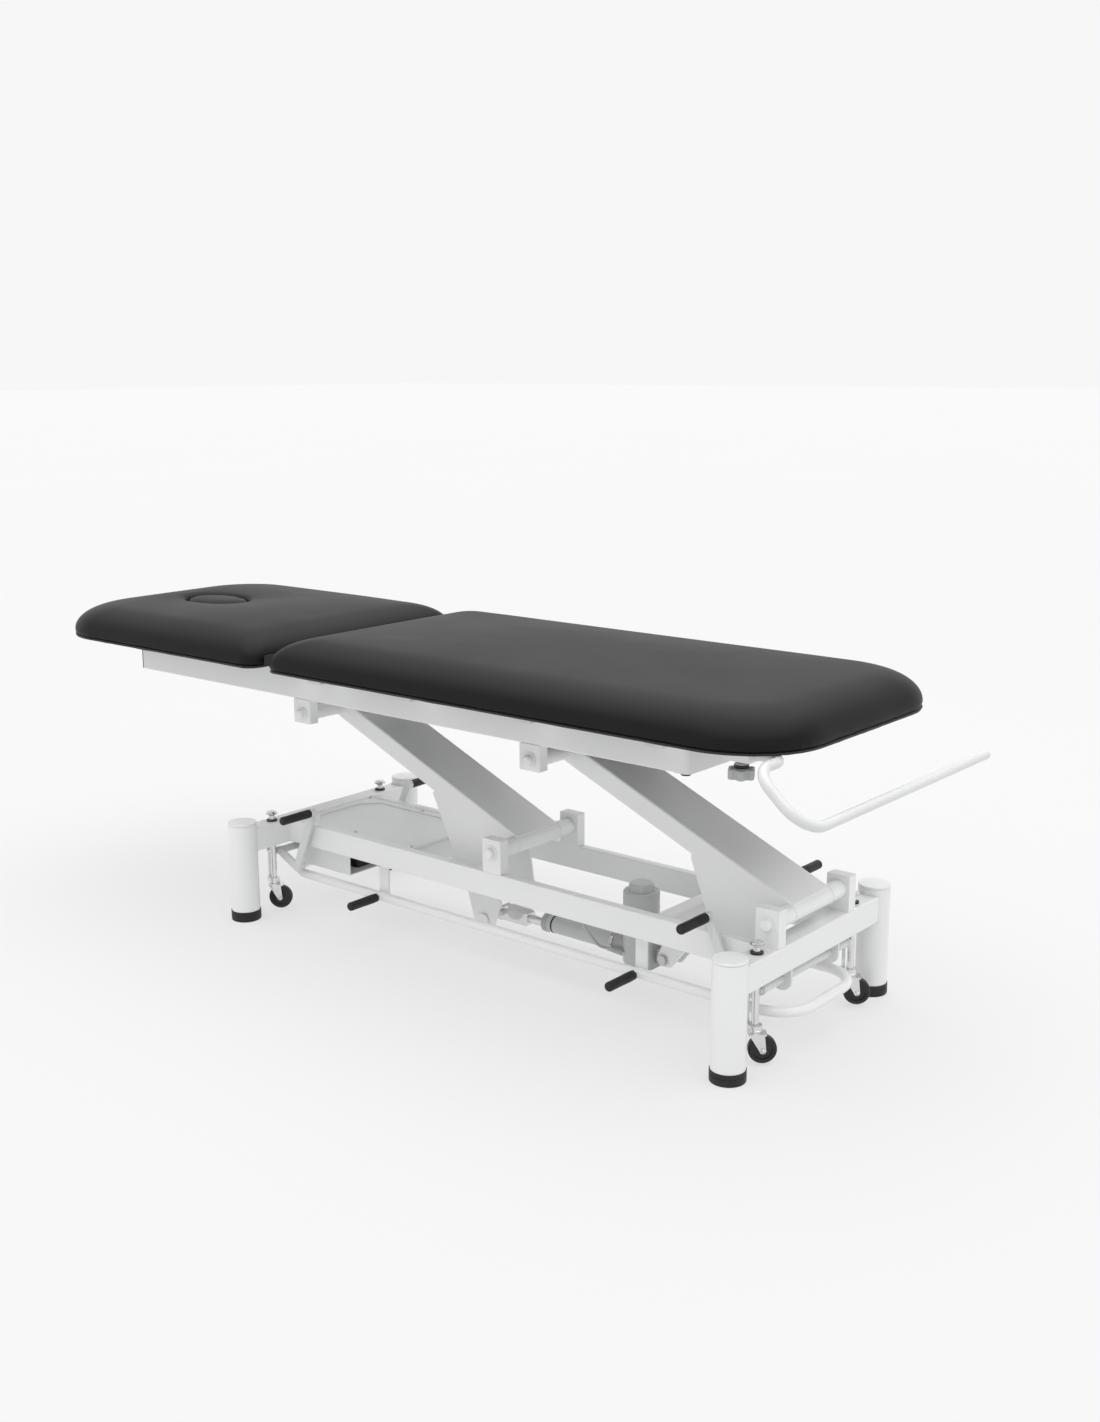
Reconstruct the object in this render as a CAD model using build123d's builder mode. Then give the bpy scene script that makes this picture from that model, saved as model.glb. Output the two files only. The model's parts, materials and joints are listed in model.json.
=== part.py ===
from build123d import *

import os
from math import cos, radians, sin

# Height-adjustable two-section examination couch, in millimetres.
# The origin is on the floor under the middle of the whole couch. +X points to the foot end, +Z up.
# Places along the couch are worked out from the middle of the base, base_x.

# ---- driving dimensions: base ----
base_x = 205.0
post_dx = 616.0
post_y = 243.0
post_r = 30.0
post_wall = 3.0
post_top = 210.6
beam_z0 = 149.0
beam_z1 = 199.0
beam_w = 44.0
rail_outer_y = 130.0
rail_w = 20.0
rail_wall = 2.0

# ---- driving dimensions: lifting arms ----
pivot_spacing = 622.5
arm_length = 538.4
arm_angle = 23.1
arm_w = 124.0
arm_t = 40.0
arm_wall = 3.5
gusset_t = 5.0
gusset_inset = 0.5
lower_pivot_z = 240.7
tube_r = 17.0
bolt_r = 8.0
running_gap = 0.05
side_gap = 0.3

# ---- driving dimensions: upper frame and pads ----
frame_outer_y = 163.0
frame_w = 30.0
frame_z0 = 482.5
frame_z1 = 542.5
board_z0 = 570.0
board_t = 18.0
pad_half_y = 304.0
pad_h = 67.5
pad_crown = 3.5
cover_t = 1.5
outer_corner_r = 150.0
gap_corner_r = 36.0
edge_in = 86.0
edge_down = 55.0
head_axis_z = 559.0

# ---- driving dimensions: castors ----
castor_y = 162.0
stem_r = 6.5
shaft_z = 128.0
shaft_r = 8.0
crank_r = 15.0
crank_half_angle = 17.5
wheel_r = 25.0
wheel_w = 17.0
wheel_z = 28.0
castor_trail = 13.0

# ---- driving dimensions: the motor's lead along the near side rail ----
lead_r = 3.0
lead_y = -97.0
lead_z = 156.0

# ---- places worked out from them ----
foot_end = base_x + post_dx
head_end = base_x - post_dx
middle = Plane.YZ.offset(base_x)
beam_z = (beam_z0 + beam_z1) / 2
beam_h = beam_z1 - beam_z0
lower_foot_x = foot_end - 1.0
lower_head_x = lower_foot_x - pivot_spacing
arm_cos = cos(radians(arm_angle))
arm_sin = sin(radians(arm_angle))
upper_head_x = lower_head_x - arm_length * arm_cos
upper_foot_x = lower_foot_x - arm_length * arm_cos
upper_pivot_z = lower_pivot_z + arm_length * arm_sin
pad_top = board_z0 + pad_h
head_axis_x = base_x - 455.0

os.makedirs("parts", exist_ok=True)


def finish(piece, name):
    """Label a finished piece and write it as its own STEP file."""
    piece.part.label = name
    export_step(piece.part, f"parts/{name}.step")


# =====================================================================
# Base frame
# =====================================================================
foot_floor = 5.0
foot_r = 31.5
foot_h = 22.0

with BuildPart() as base_posts:
    with BuildSketch(Plane.XY.offset(foot_floor)):
        with Locations((foot_end, post_y)):
            Circle(post_r)
            Circle(post_r - post_wall, mode=Mode.SUBTRACT)
    extrude(amount=post_top - foot_floor)
    mirror(about=Plane.XZ)
    mirror(about=middle)
finish(base_posts, "base_posts")

cap_z = post_top + 0.7
with BuildPart() as post_caps:
    with BuildSketch(Plane.XY.offset(cap_z)):
        with Locations((foot_end, post_y)):
            Circle(post_r)
    extrude(amount=4.3)
    fillet(post_caps.edges().group_by(Axis.Z)[-1], 1.4)
    with BuildSketch(Plane.XY.offset(cap_z)):
        with Locations((foot_end, post_y)):
            Circle(post_r - post_wall - 0.2)
    extrude(amount=-14)
    mirror(about=Plane.XZ)
    mirror(about=middle)
finish(post_caps, "post_caps")

with BuildPart() as rubber_feet:
    with BuildSketch():
        with Locations((foot_end, post_y)):
            Circle(foot_r)
    extrude(amount=foot_h)
    fillet(rubber_feet.edges().group_by(Axis.Z)[0], 2.5)
    fillet(rubber_feet.edges().group_by(Axis.Z)[-1], 0.8)
    with BuildSketch(Plane.XY.offset(foot_floor)):
        with Locations((foot_end, post_y)):
            Circle(post_r)
    extrude(amount=foot_h, mode=Mode.SUBTRACT)
    with BuildSketch(Plane.XY.offset(foot_h * 0.6)):
        with Locations((foot_end, post_y)):
            Circle(foot_r + 1)
            Circle(foot_r - 0.6, mode=Mode.SUBTRACT)
    extrude(amount=1.2, mode=Mode.SUBTRACT)
    mirror(about=Plane.XZ)
    mirror(about=middle)
finish(rubber_feet, "rubber_feet")

beam_wall = 3.0
bush_hole_r = 9.0
with BuildPart() as base_end_beams:
    with BuildSketch(Plane.XZ.offset(-post_y)):
        with Locations((foot_end, beam_z)):
            RectangleRounded(beam_w, beam_h, 3)
            RectangleRounded(beam_w - 2 * beam_wall, beam_h - 2 * beam_wall, 1, mode=Mode.SUBTRACT)
    extrude(amount=2 * post_y)
    with BuildSketch(Plane.XY.offset(beam_z0 - 1)):
        with Locations((foot_end, post_y), (foot_end, -post_y)):
            Circle(post_r)
        with Locations((foot_end, castor_y), (foot_end, -castor_y)):
            Circle(bush_hole_r)
    extrude(amount=beam_h + 2, mode=Mode.SUBTRACT)
    mirror(about=middle)
finish(base_end_beams, "base_end_beams")

side_rail_half = post_dx - beam_w / 2
with BuildPart() as base_side_rails:
    with BuildSketch(middle.offset(-side_rail_half)):
        with Locations((rail_outer_y - rail_w / 2, beam_z)):
            RectangleRounded(rail_w, beam_h, 2.5)
            RectangleRounded(rail_w - 2 * rail_wall, beam_h - 2 * rail_wall, 1, mode=Mode.SUBTRACT)
    extrude(amount=2 * side_rail_half)
    mirror(about=Plane.XZ)
finish(base_side_rails, "base_side_rails")

# Two members tie the side rails together: one carries the tray's edge, one the drive's bracket.
cross_half = rail_outer_y - rail_w
tray_edge_x = base_x - 264.0
drive_member_x = base_x + 389.5
tray_top = 196.6
tray_t = 5.0
with BuildPart() as base_cross_members:
    with BuildSketch(Plane.XZ.offset(-cross_half)):
        with Locations((drive_member_x, beam_z)):
            RectangleRounded(35, beam_h, 2.5)
            RectangleRounded(31, beam_h - 4, 1, mode=Mode.SUBTRACT)
        with Locations((tray_edge_x, (beam_z0 + tray_top - tray_t) / 2)):
            RectangleRounded(40, tray_top - tray_t - beam_z0, 2.5)
            RectangleRounded(36, tray_top - tray_t - beam_z0 - 4, 1, mode=Mode.SUBTRACT)
    extrude(amount=2 * cross_half)
    with BuildSketch(Plane.YZ.offset(tray_edge_x - 25)):
        with Locations((lead_y, lead_z)):
            Circle(lead_r + 2)
    extrude(amount=50, mode=Mode.SUBTRACT)
finish(base_cross_members, "base_cross_members")

# Sheet-steel tray between the rails at the head end, with a shallow pan that has cut corners.
tray_x0 = base_x - side_rail_half
tray_x1 = tray_edge_x + 20
with BuildPart() as tray_plate:
    with BuildSketch(Plane.XY.offset(tray_top - tray_t)):
        with Locations(((tray_x0 + tray_x1) / 2, 0)):
            Rectangle(tray_x1 - tray_x0, 2 * cross_half)
    extrude(amount=tray_t)
    with BuildSketch(Plane.XY.offset(tray_top)) as pan:
        with Locations(((tray_x0 + tray_x1) / 2, 0)):
            Rectangle(tray_x1 - tray_x0 - 36, 2 * cross_half - 36)
        chamfer(pan.vertices(), 34)
    extrude(amount=-2.5, mode=Mode.SUBTRACT)
finish(tray_plate, "tray_plate")

# =====================================================================
# Bearing blocks, pivot bolts and pivot tubes
# =====================================================================
lower_block_w = 46.0
lower_block_t = 23.0
lower_block_top = 267.0
upper_block_w = 49.0
upper_block_t = 21.5
upper_block_z0 = 432.0
lower_inner_y = rail_outer_y - lower_block_t
upper_inner_y = frame_outer_y - upper_block_t


def bearing_blocks(name, pivots, pivot_z, outer_y, size, z_span):
    """Near and far blocks at both pivots, bored for the pivot bolts."""
    width, thickness = size
    low, high = z_span
    with BuildPart() as blocks:
        with BuildSketch(Plane.XZ.offset(-outer_y)):
            with Locations(*[(x, (low + high) / 2) for x in pivots]):
                RectangleRounded(width, high - low, 2)
            with Locations(*[(x, pivot_z) for x in pivots]):
                Circle(bolt_r, mode=Mode.SUBTRACT)
        extrude(amount=thickness)
        mirror(about=Plane.XZ)
    finish(blocks, name)


def pivot_bolts(name, pivots, pivot_z, outer_y, reach):
    """Shouldered bolts with a washer and a domed cap on the outer face of each block."""
    with BuildPart() as bolts:
        with BuildSketch(Plane.XZ.offset(-outer_y)):
            with Locations(*[(x, pivot_z) for x in pivots]):
                Circle(11)
        extrude(amount=-12)
        fillet(bolts.edges().group_by(Axis.Y)[-1], 5)
        with BuildSketch(Plane.XZ.offset(-outer_y)):
            with Locations(*[(x, pivot_z) for x in pivots]):
                Circle(15)
        extrude(amount=-2)
        with BuildSketch(Plane.XZ.offset(-outer_y)):
            with Locations(*[(x, pivot_z) for x in pivots]):
                Circle(bolt_r)
        extrude(amount=reach)
        mirror(about=Plane.XZ)
    finish(bolts, name)


lower_pivots = (lower_head_x, lower_foot_x)
upper_pivots = (upper_head_x, upper_foot_x)
bush_depth = 42.0
lower_size = (lower_block_w, lower_block_t)
upper_size = (upper_block_w, upper_block_t)
bearing_blocks("lower_bearing_blocks", lower_pivots, lower_pivot_z, rail_outer_y, lower_size,
               (beam_z1, lower_block_top))
bearing_blocks("upper_bearing_blocks", upper_pivots, upper_pivot_z, frame_outer_y, upper_size,
               (upper_block_z0, frame_z0))
pivot_bolts("lower_pivot_bolts", lower_pivots, lower_pivot_z, rail_outer_y, lower_block_t + 35)
pivot_bolts("upper_pivot_bolts", upper_pivots, upper_pivot_z, frame_outer_y, upper_block_t + 35)

# =====================================================================
# Lifting arms: a box section, side gussets and, on the head arm, the drive's clevis tip
# =====================================================================
drive_tip_x = base_x - 91.0
drive_tip_z = 67.0
drive_tip_r = 27.0
drive_pin_r = 7.0
arm_overrun = 20.0


def on_arm(pivot_x, along, above=0.0):
    """A point in the XZ plane, measured up an arm from its lower pivot and square to the arm."""
    x = pivot_x - along * arm_cos + above * arm_sin
    z = lower_pivot_z + along * arm_sin + above * arm_cos
    return (x, z)


def lifting_arm(name, pivot_x, gusset, tip=None):
    """One arm, with two gusset plates a hair inside its sides."""
    section = Plane(origin=(pivot_x, 0, lower_pivot_z), x_dir=(0, 1, 0), z_dir=(-arm_cos, 0, arm_sin))
    with BuildPart() as arm:
        with BuildSketch(section):
            RectangleRounded(arm_w, arm_t, 4)
            RectangleRounded(arm_w - 2 * arm_wall, arm_t - 2 * arm_wall, 1.2, mode=Mode.SUBTRACT)
        extrude(amount=arm_length + arm_overrun)
        for side in (-1, 1):
            with BuildSketch(Plane.XZ.offset(-side * (arm_w / 2 - gusset_inset))):
                with BuildLine():
                    Polyline(*gusset, close=True)
                make_face()
                if tip:
                    with Locations(tip):
                        Circle(drive_tip_r)
            extrude(amount=side * gusset_t)
        # A web closes the back of the gussets.
        web_top = on_arm(pivot_x, 118, -18)
        with BuildSketch(Plane.XZ):
            with BuildLine():
                Polyline(web_top, (web_top[0] + 12, web_top[1] - 62), (web_top[0] + 17, web_top[1] - 61),
                         on_arm(pivot_x, 112, -18), close=True)
            make_face()
        extrude(amount=arm_w / 2 - gusset_inset - 1.5, both=True)
        with BuildSketch(Plane.XZ):
            with Locations((pivot_x, lower_pivot_z), on_arm(pivot_x, arm_length)):
                Circle(tube_r)
            if tip:
                with Locations(tip):
                    Circle(drive_pin_r)
        extrude(amount=arm_w, both=True, mode=Mode.SUBTRACT)
    finish(arm, name)


head_gusset = [
    on_arm(lower_head_x, 225, -10),
    (base_x - 228, 307),
    (base_x - 134, 116),
    (base_x - 117, 60),
    (base_x - 66, 58),
    (base_x - 46, 111),
    (base_x - 62, 124),
    (base_x - 72, 188),
    (base_x - 27, 233),
    on_arm(lower_head_x, 20, 0),
]
foot_gusset = [
    on_arm(lower_foot_x, 215, -10),
    (base_x + 411, 298),
    (base_x + 459, 172),
    (base_x + 562, 177),
    (base_x + 594, 214),
    on_arm(lower_foot_x, 12, 0),
]
lifting_arm("head_arm", lower_head_x, head_gusset, (drive_tip_x, drive_tip_z))
lifting_arm("foot_arm", lower_foot_x, foot_gusset)


def arm_shafts(name, pivot_x, upper_gap, pin=False):
    """The round cross tubes of an arm, bushed at both ends, and the drive's clevis pin."""
    upper_x, upper_z = on_arm(pivot_x, arm_length)
    ends = ((pivot_x, lower_pivot_z, lower_inner_y - side_gap, running_gap),
            (upper_x, upper_z, upper_inner_y - side_gap, upper_gap))
    with BuildPart() as shafts:
        for x, z, half, gap in ends:
            with BuildSketch(Plane.XZ):
                with Locations((x, z)):
                    Circle(tube_r)
                    Circle(tube_r - 4, mode=Mode.SUBTRACT)
            extrude(amount=half, both=True)
            for side in (-1, 1):
                with BuildSketch(Plane.XZ.offset(-side * half)):
                    with Locations((x, z)):
                        Circle(tube_r - 2)
                        Circle(bolt_r + gap, mode=Mode.SUBTRACT)
                extrude(amount=side * bush_depth)
        if pin:
            with BuildSketch(Plane.XZ):
                with Locations((drive_tip_x, drive_tip_z)):
                    Circle(drive_pin_r)
            extrude(amount=arm_w / 2 + 2, both=True)
            for side in (-1, 1):
                with BuildSketch(Plane.XZ.offset(-side * arm_w / 2)):
                    with Locations((drive_tip_x, drive_tip_z)):
                        Circle(13)
                extrude(amount=-side * 5)
    finish(shafts, name)


open_pivot_gap = 0.3
arm_shafts("head_arm_shafts", lower_head_x, running_gap, pin=True)
arm_shafts("foot_arm_shafts", lower_foot_x, open_pivot_gap)

# =====================================================================
# Upper frame
# =====================================================================
frame_z = (frame_z0 + frame_z1) / 2
frame_h = frame_z1 - frame_z0
frame_x0 = base_x - 1042.0
frame_x1 = base_x + 473.0
frame_y = frame_outer_y - frame_w / 2
frame_inner_y = frame_outer_y - frame_w
crossbar_places = [frame_x0 + 30, upper_head_x - 45, upper_foot_x - 45]

with BuildPart() as upper_frame:
    # The foot cross-channel has rounded outer corners and opens towards the rails.
    with BuildSketch(Plane.XY.offset(frame_z0)):
        with Locations((frame_x1 - frame_w / 2, 0)):
            Rectangle(frame_w, 2 * frame_outer_y)
    extrude(amount=frame_h)
    fillet(upper_frame.edges().filter_by(Axis.Z).group_by(Axis.X)[-1], 13)
    fillet(upper_frame.edges().group_by(Axis.Z)[-1].sort_by(Axis.X)[1:], 2)
    with BuildSketch(Plane.YZ.offset(frame_x1 - frame_w)):
        with Locations((0, frame_z)):
            Rectangle(2 * frame_inner_y, frame_h - 6)
    extrude(amount=frame_w - 3, mode=Mode.SUBTRACT)
    with BuildSketch(Plane.YZ.offset(frame_x0)):
        with Locations((frame_y, frame_z), (-frame_y, frame_z)):
            RectangleRounded(frame_w, frame_h, 3)
            RectangleRounded(frame_w - 5, frame_h - 5, 1, mode=Mode.SUBTRACT)
    extrude(amount=frame_x1 - frame_w - frame_x0)
    with BuildSketch(Plane.XZ.offset(-frame_inner_y)):
        with Locations(*[(x, frame_z + 8) for x in crossbar_places]):
            RectangleRounded(30, 40, 2)
            RectangleRounded(26, 36, 1, mode=Mode.SUBTRACT)
    extrude(amount=2 * frame_inner_y)
finish(upper_frame, "upper_frame")

# Flat bearers lie across the rails under the main board.
bearer_places = [base_x - 380, base_x - 130, base_x + 165, base_x + 452]
bearer_h = board_z0 - frame_z1
bearer_half = 235.0
with BuildPart() as pad_bearers:
    with BuildSketch(Plane.XZ.offset(-bearer_half)):
        with Locations(*[(x, frame_z1 + bearer_h / 2) for x in bearer_places]):
            RectangleRounded(40, bearer_h, 2)
            RectangleRounded(36, bearer_h - 4, 1, mode=Mode.SUBTRACT)
    extrude(amount=2 * bearer_half)
finish(pad_bearers, "pad_bearers")

with BuildPart() as rail_plugs:
    with BuildSketch(Plane.YZ.offset(frame_x0)):
        with Locations((frame_y, frame_z), (-frame_y, frame_z)):
            RectangleRounded(frame_w, frame_h, 3)
    extrude(amount=-3)
    with BuildSketch(Plane.YZ.offset(frame_x0)):
        with Locations((frame_y, frame_z), (-frame_y, frame_z)):
            RectangleRounded(frame_w - 5.4, frame_h - 5.4, 1)
    extrude(amount=14)
    with BuildSketch(Plane.XY.offset(frame_z0)):
        with Locations((frame_x1 - 16, frame_y), (frame_x1 - 16, -frame_y)):
            Circle(9)
    extrude(amount=-5)
    fillet(rail_plugs.faces().sort_by(Axis.Z)[:2].edges(), 1.5)
finish(rail_plugs, "rail_plugs")

# =====================================================================
# Pads: a board inside a foam block whose cover wraps under the board's edge
# =====================================================================
main_x0 = base_x - 464.0
main_x1 = base_x + 728.0
head_x0 = base_x - 1206.0
head_x1 = base_x - 491.0
board_inset = 12.0
cover_wrap = 12.0
face_x = base_x - 969.0
face_rx = 86.0
face_ry = 61.0


def pad_outline(z, ends, inset):
    """Outline of a pad drawn in by inset: big corners at its outer end, small ones at the gap."""
    outer_x, gap_x = ends
    outward = Axis((0, 0, 0), (1 if outer_x > gap_x else -1, 0, 0))
    with BuildSketch(Plane.XY.offset(z)) as outline:
        with Locations(((outer_x + gap_x) / 2, 0)):
            Rectangle(abs(outer_x - gap_x) - 2 * inset, 2 * (pad_half_y - inset))
        corners = outline.vertices().sort_by(outward)
        fillet(corners[:2], max(gap_corner_r - 0.6 * inset, 5))
        fillet(outline.vertices().sort_by(outward)[-2:], outer_corner_r - 0.6 * inset)
    return outline.sketch


def pad_board(name, ends, hole=None):
    """Plywood board, smaller than its pad all round."""
    with BuildPart() as board:
        extrude(pad_outline(board_z0, ends, board_inset), amount=board_t)
        if hole:
            with BuildSketch(Plane.XY.offset(board_z0)):
                with Locations(hole):
                    Ellipse(face_rx - 10, face_ry - 10)
            extrude(amount=board_t, mode=Mode.SUBTRACT)
    finish(board, name)


def pad(name, ends, hole=None):
    """Foam block with its cover: long rounded edges above, hollowed below for the board."""
    pad_z0 = board_z0 - cover_t
    edge_z0 = pad_top - edge_down
    steps = [radians(degrees) for degrees in (0, 18, 36, 54, 72, 90)]
    rounding = [(edge_z0 + edge_down * sin(step), edge_in * (1 - cos(step))) for step in steps]
    rounding.append((pad_top + pad_crown, edge_in + 90))
    with BuildPart() as block:
        extrude(pad_outline(pad_z0 + 5, ends, 0), amount=edge_z0 - pad_z0 - 5)
        loft([pad_outline(pad_z0, ends, 3), pad_outline(pad_z0 + 5, ends, 0)])
        loft([pad_outline(z, ends, inset) for z, inset in rounding])
        if hole:
            with BuildSketch(Plane.XY.offset(pad_top + pad_crown + 1)):
                with Locations(hole):
                    Ellipse(face_rx, face_ry)
            extrude(amount=pad_z0 - pad_top - pad_crown - 2, mode=Mode.SUBTRACT)
        extrude(pad_outline(board_z0, ends, board_inset), amount=board_t, mode=Mode.SUBTRACT)
        extrude(pad_outline(pad_z0 - 1, ends, board_inset + cover_wrap), amount=cover_t + 2, mode=Mode.SUBTRACT)
    finish(block, name)


pad_board("main_board", (main_x1, main_x0))
pad_board("head_board", (head_x0, head_x1), (face_x, 0))
pad("main_pad", (main_x1, main_x0))
pad("head_pad", (head_x0, head_x1), (face_x, 0))

plug_gap = 1.0
with BuildPart() as face_plug:
    with BuildSketch(Plane.XY.offset(board_z0 + board_t + 0.3)):
        with Locations((face_x, 0)):
            Ellipse(face_rx - plug_gap, face_ry - plug_gap)
    extrude(amount=pad_h - board_t - 9)
    fillet(face_plug.edges().group_by(Axis.Z)[-1], 12)
finish(face_plug, "face_plug")

# Fabric flap that closes the lower part of the gap between the pads, fixed to the head pad.
with BuildPart() as gap_flap:
    with BuildSketch(Plane.YZ.offset(head_x1 + 0.3)):
        with Locations((0, board_z0 + 11)):
            Rectangle(2 * (pad_half_y - gap_corner_r), 22)
    extrude(amount=1.2)
finish(gap_flap, "gap_flap")

# =====================================================================
# Tilting head frame and its ratchet hinges
# =====================================================================
head_frame_z0 = frame_z1 + 0.4
head_bar_h = board_z0 - head_frame_z0
head_frame_x0 = base_x - 1160.0
head_frame_x1 = base_x - 520.0
hinge_pin_r = 5.0
hinge_leaf_t = 12.0
hinge_r = 9.0

with BuildPart() as head_frame:
    with BuildSketch(Plane.YZ.offset(head_frame_x0)):
        with Locations((frame_y, head_frame_z0 + head_bar_h / 2)):
            RectangleRounded(frame_w, head_bar_h, 2)
            RectangleRounded(frame_w - 4, head_bar_h - 4, 1, mode=Mode.SUBTRACT)
    extrude(amount=head_frame_x1 - head_frame_x0)
    with BuildSketch(Plane.XZ.offset(-frame_y - hinge_leaf_t / 2)):
        with BuildLine():
            Polyline((head_frame_x1 - 20, board_z0 - 1), (head_frame_x1 - 20, head_frame_z0 + 1),
                     (head_frame_x1 + 6, head_axis_z - hinge_r), (head_axis_x, head_axis_z - hinge_r),
                     (head_axis_x, head_axis_z), (head_axis_x - 30, head_axis_z),
                     (head_frame_x1, head_axis_z + hinge_r),
                     (head_frame_x1 - 1, board_z0 - 1), close=True)
        make_face()
        with Locations((head_axis_x, head_axis_z)):
            Circle(hinge_r)
            Circle(hinge_pin_r + running_gap, mode=Mode.SUBTRACT)
    extrude(amount=hinge_leaf_t)
    mirror(about=Plane.XZ)
    for x in (head_frame_x0 + 40, head_frame_x1 - 60):
        with BuildSketch(Plane.XZ.offset(-frame_inner_y - 1)):
            with Locations((x, head_frame_z0 + head_bar_h / 2)):
                Rectangle(30, head_bar_h)
                Rectangle(26, head_bar_h - 4, mode=Mode.SUBTRACT)
        extrude(amount=2 * frame_inner_y + 2)
finish(head_frame, "head_frame")

hinge_cheek_gap = 0.4
hinge_cheek_t = 5.0
hinge_root_x = bearer_places[0] - 20
with BuildPart() as head_hinges:
    for side in (-1, 1):
        cheek_y = frame_y + side * (hinge_leaf_t / 2 + hinge_cheek_gap)
        with BuildSketch(Plane.XZ.offset(-cheek_y)):
            with Locations((head_axis_x, head_axis_z)):
                Circle(hinge_r)
            with Locations(((head_axis_x + hinge_root_x) / 2, head_axis_z)):
                Rectangle(hinge_root_x - head_axis_x, 2 * hinge_r)
        extrude(amount=-side * hinge_cheek_t)
    with BuildSketch(Plane.XZ.offset(-frame_y)):
        with Locations((head_axis_x, head_axis_z)):
            Circle(hinge_pin_r)
    extrude(amount=hinge_leaf_t / 2 + hinge_cheek_gap + hinge_cheek_t + 3, both=True)
    mirror(about=Plane.XZ)
finish(head_hinges, "head_hinges")

# =====================================================================
# Paper-roll holder under the foot end: clamp, bent tube and clamping knob
# =====================================================================
holder_y = -221.0
holder_z = 557.0
holder_r = 9.0
holder_x = base_x + 695.0
bar_x = base_x + 787.0
bar_z = 475.0
bar_near_y = -308.0
bar_far_y = 314.0
clamp_x = base_x + 615.0
clamp_z0 = 544.5

with BuildPart() as paper_bar:
    with BuildLine() as bar_line:
        FilletPolyline((base_x + 560, holder_y, holder_z), (holder_x, holder_y, holder_z),
                       (holder_x, bar_near_y, holder_z), (bar_x, bar_near_y, bar_z),
                       (bar_x, bar_far_y, bar_z), radius=[28, 38, 55])
    with BuildSketch(Plane(origin=bar_line.line @ 0, z_dir=bar_line.line % 0)):
        Circle(holder_r)
        Circle(holder_r - 1.8, mode=Mode.SUBTRACT)
    sweep()
    with BuildSketch(Plane.XZ.offset(-bar_far_y)):
        with Locations((bar_x, bar_z)):
            Circle(holder_r)
    extrude(amount=-3)
    fillet(paper_bar.edges().sort_by(Axis.Y)[-1], 2)
finish(paper_bar, "paper_bar")

stud_r = 4.0
with BuildPart() as holder_clamp:
    with BuildSketch(Plane.YZ.offset(clamp_x - 25)):
        with Locations((holder_y, (clamp_z0 + board_z0) / 2)):
            Rectangle(34, board_z0 - clamp_z0)
        with Locations((holder_y, holder_z)):
            Circle(holder_r + running_gap, mode=Mode.SUBTRACT)
    extrude(amount=50)
    with BuildSketch(Plane.XY.offset(board_z0 - 3)):
        with Locations((clamp_x, holder_y)):
            RectangleRounded(50, 70, 8)
            with GridLocations(30, 56, 2, 2):
                Circle(2.5, mode=Mode.SUBTRACT)
    extrude(amount=3)
    with BuildSketch(Plane.XY.offset(clamp_z0 - 1)):
        with Locations((clamp_x, holder_y)):
            Circle(stud_r + running_gap)
    extrude(amount=holder_z - clamp_z0, mode=Mode.SUBTRACT)
finish(holder_clamp, "holder_clamp")

knob_z0 = 514.0
knob_h = 17.0
with BuildPart() as clamp_knob:
    with BuildSketch(Plane.XY.offset(knob_z0)):
        with Locations((clamp_x, holder_y)):
            Circle(18)
            with PolarLocations(17, 6):
                Circle(6.5)
    extrude(amount=knob_h)
    fillet(clamp_knob.edges().group_by(Axis.Z)[0], 2)
    fillet(clamp_knob.edges().group_by(Axis.Z)[-1], 2)
    with BuildSketch(Plane.XY.offset(knob_z0 + knob_h)):
        with Locations((clamp_x, holder_y)):
            Circle(11)
    extrude(amount=8)
    with BuildSketch(Plane.XY.offset(knob_z0 + knob_h + 8)):
        with Locations((clamp_x, holder_y)):
            Circle(stud_r)
    extrude(amount=holder_z - holder_r - 0.4 - knob_z0 - knob_h - 8)
finish(clamp_knob, "clamp_knob")

# =====================================================================
# Electric drive: motor, gearbox, outer tube, and the rod that pushes the head arm
# =====================================================================
motor_x = base_x + 257.0
motor_r = 35.0
motor_z0 = 37.0
motor_z1 = 190.0
anchor_x = base_x + 323.0
anchor_z = 71.0
anchor_pin_r = 6.0
drive_tube_r = 18.0
drive_bore_r = 16.0
drive_tube_x0 = anchor_x - 300.0
drive_tube_x1 = anchor_x - 120.0
gearbox_bore_x = anchor_x - 107.0
rod_r = 9.0
rod_x1 = drive_tip_x + 245.0

# Ribbed strain relief of the lead, on the housing's near side.
relief_x0 = base_x + 199.0
relief_y = -30.0
relief_z = 66.0
relief_length = 52.0

with BuildPart() as motor_housing:
    with BuildSketch(Plane.XY.offset(motor_z0)):
        with Locations((motor_x, 0)):
            Circle(motor_r - 3)
    extrude(amount=12)
    fillet(motor_housing.edges().group_by(Axis.Z)[0], 6)
    with BuildSketch(Plane.XY.offset(motor_z0 + 12)):
        with Locations((motor_x, 0)):
            Circle(motor_r)
    extrude(amount=motor_z1 - motor_z0 - 12)
    fillet(motor_housing.edges().group_by(Axis.Z)[-1], 5)
    with BuildSketch(Plane.XY.offset(motor_z1)):
        with Locations((motor_x, 0)):
            Circle(motor_r - 9)
    extrude(amount=14, taper=12)
    fillet(motor_housing.edges().group_by(Axis.Z)[-1], 4)
    relief = Plane(origin=(relief_x0, relief_y, relief_z), z_dir=(1, 0, 0))
    with BuildSketch(relief):
        Circle(lead_r + 0.6)
    extrude(amount=relief_length)
    for step in range(6):
        with BuildSketch(relief.offset(1 + 6 * step)):
            Circle(4.2 + 0.35 * step)
        extrude(amount=4)
finish(motor_housing, "motor_housing")

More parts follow.
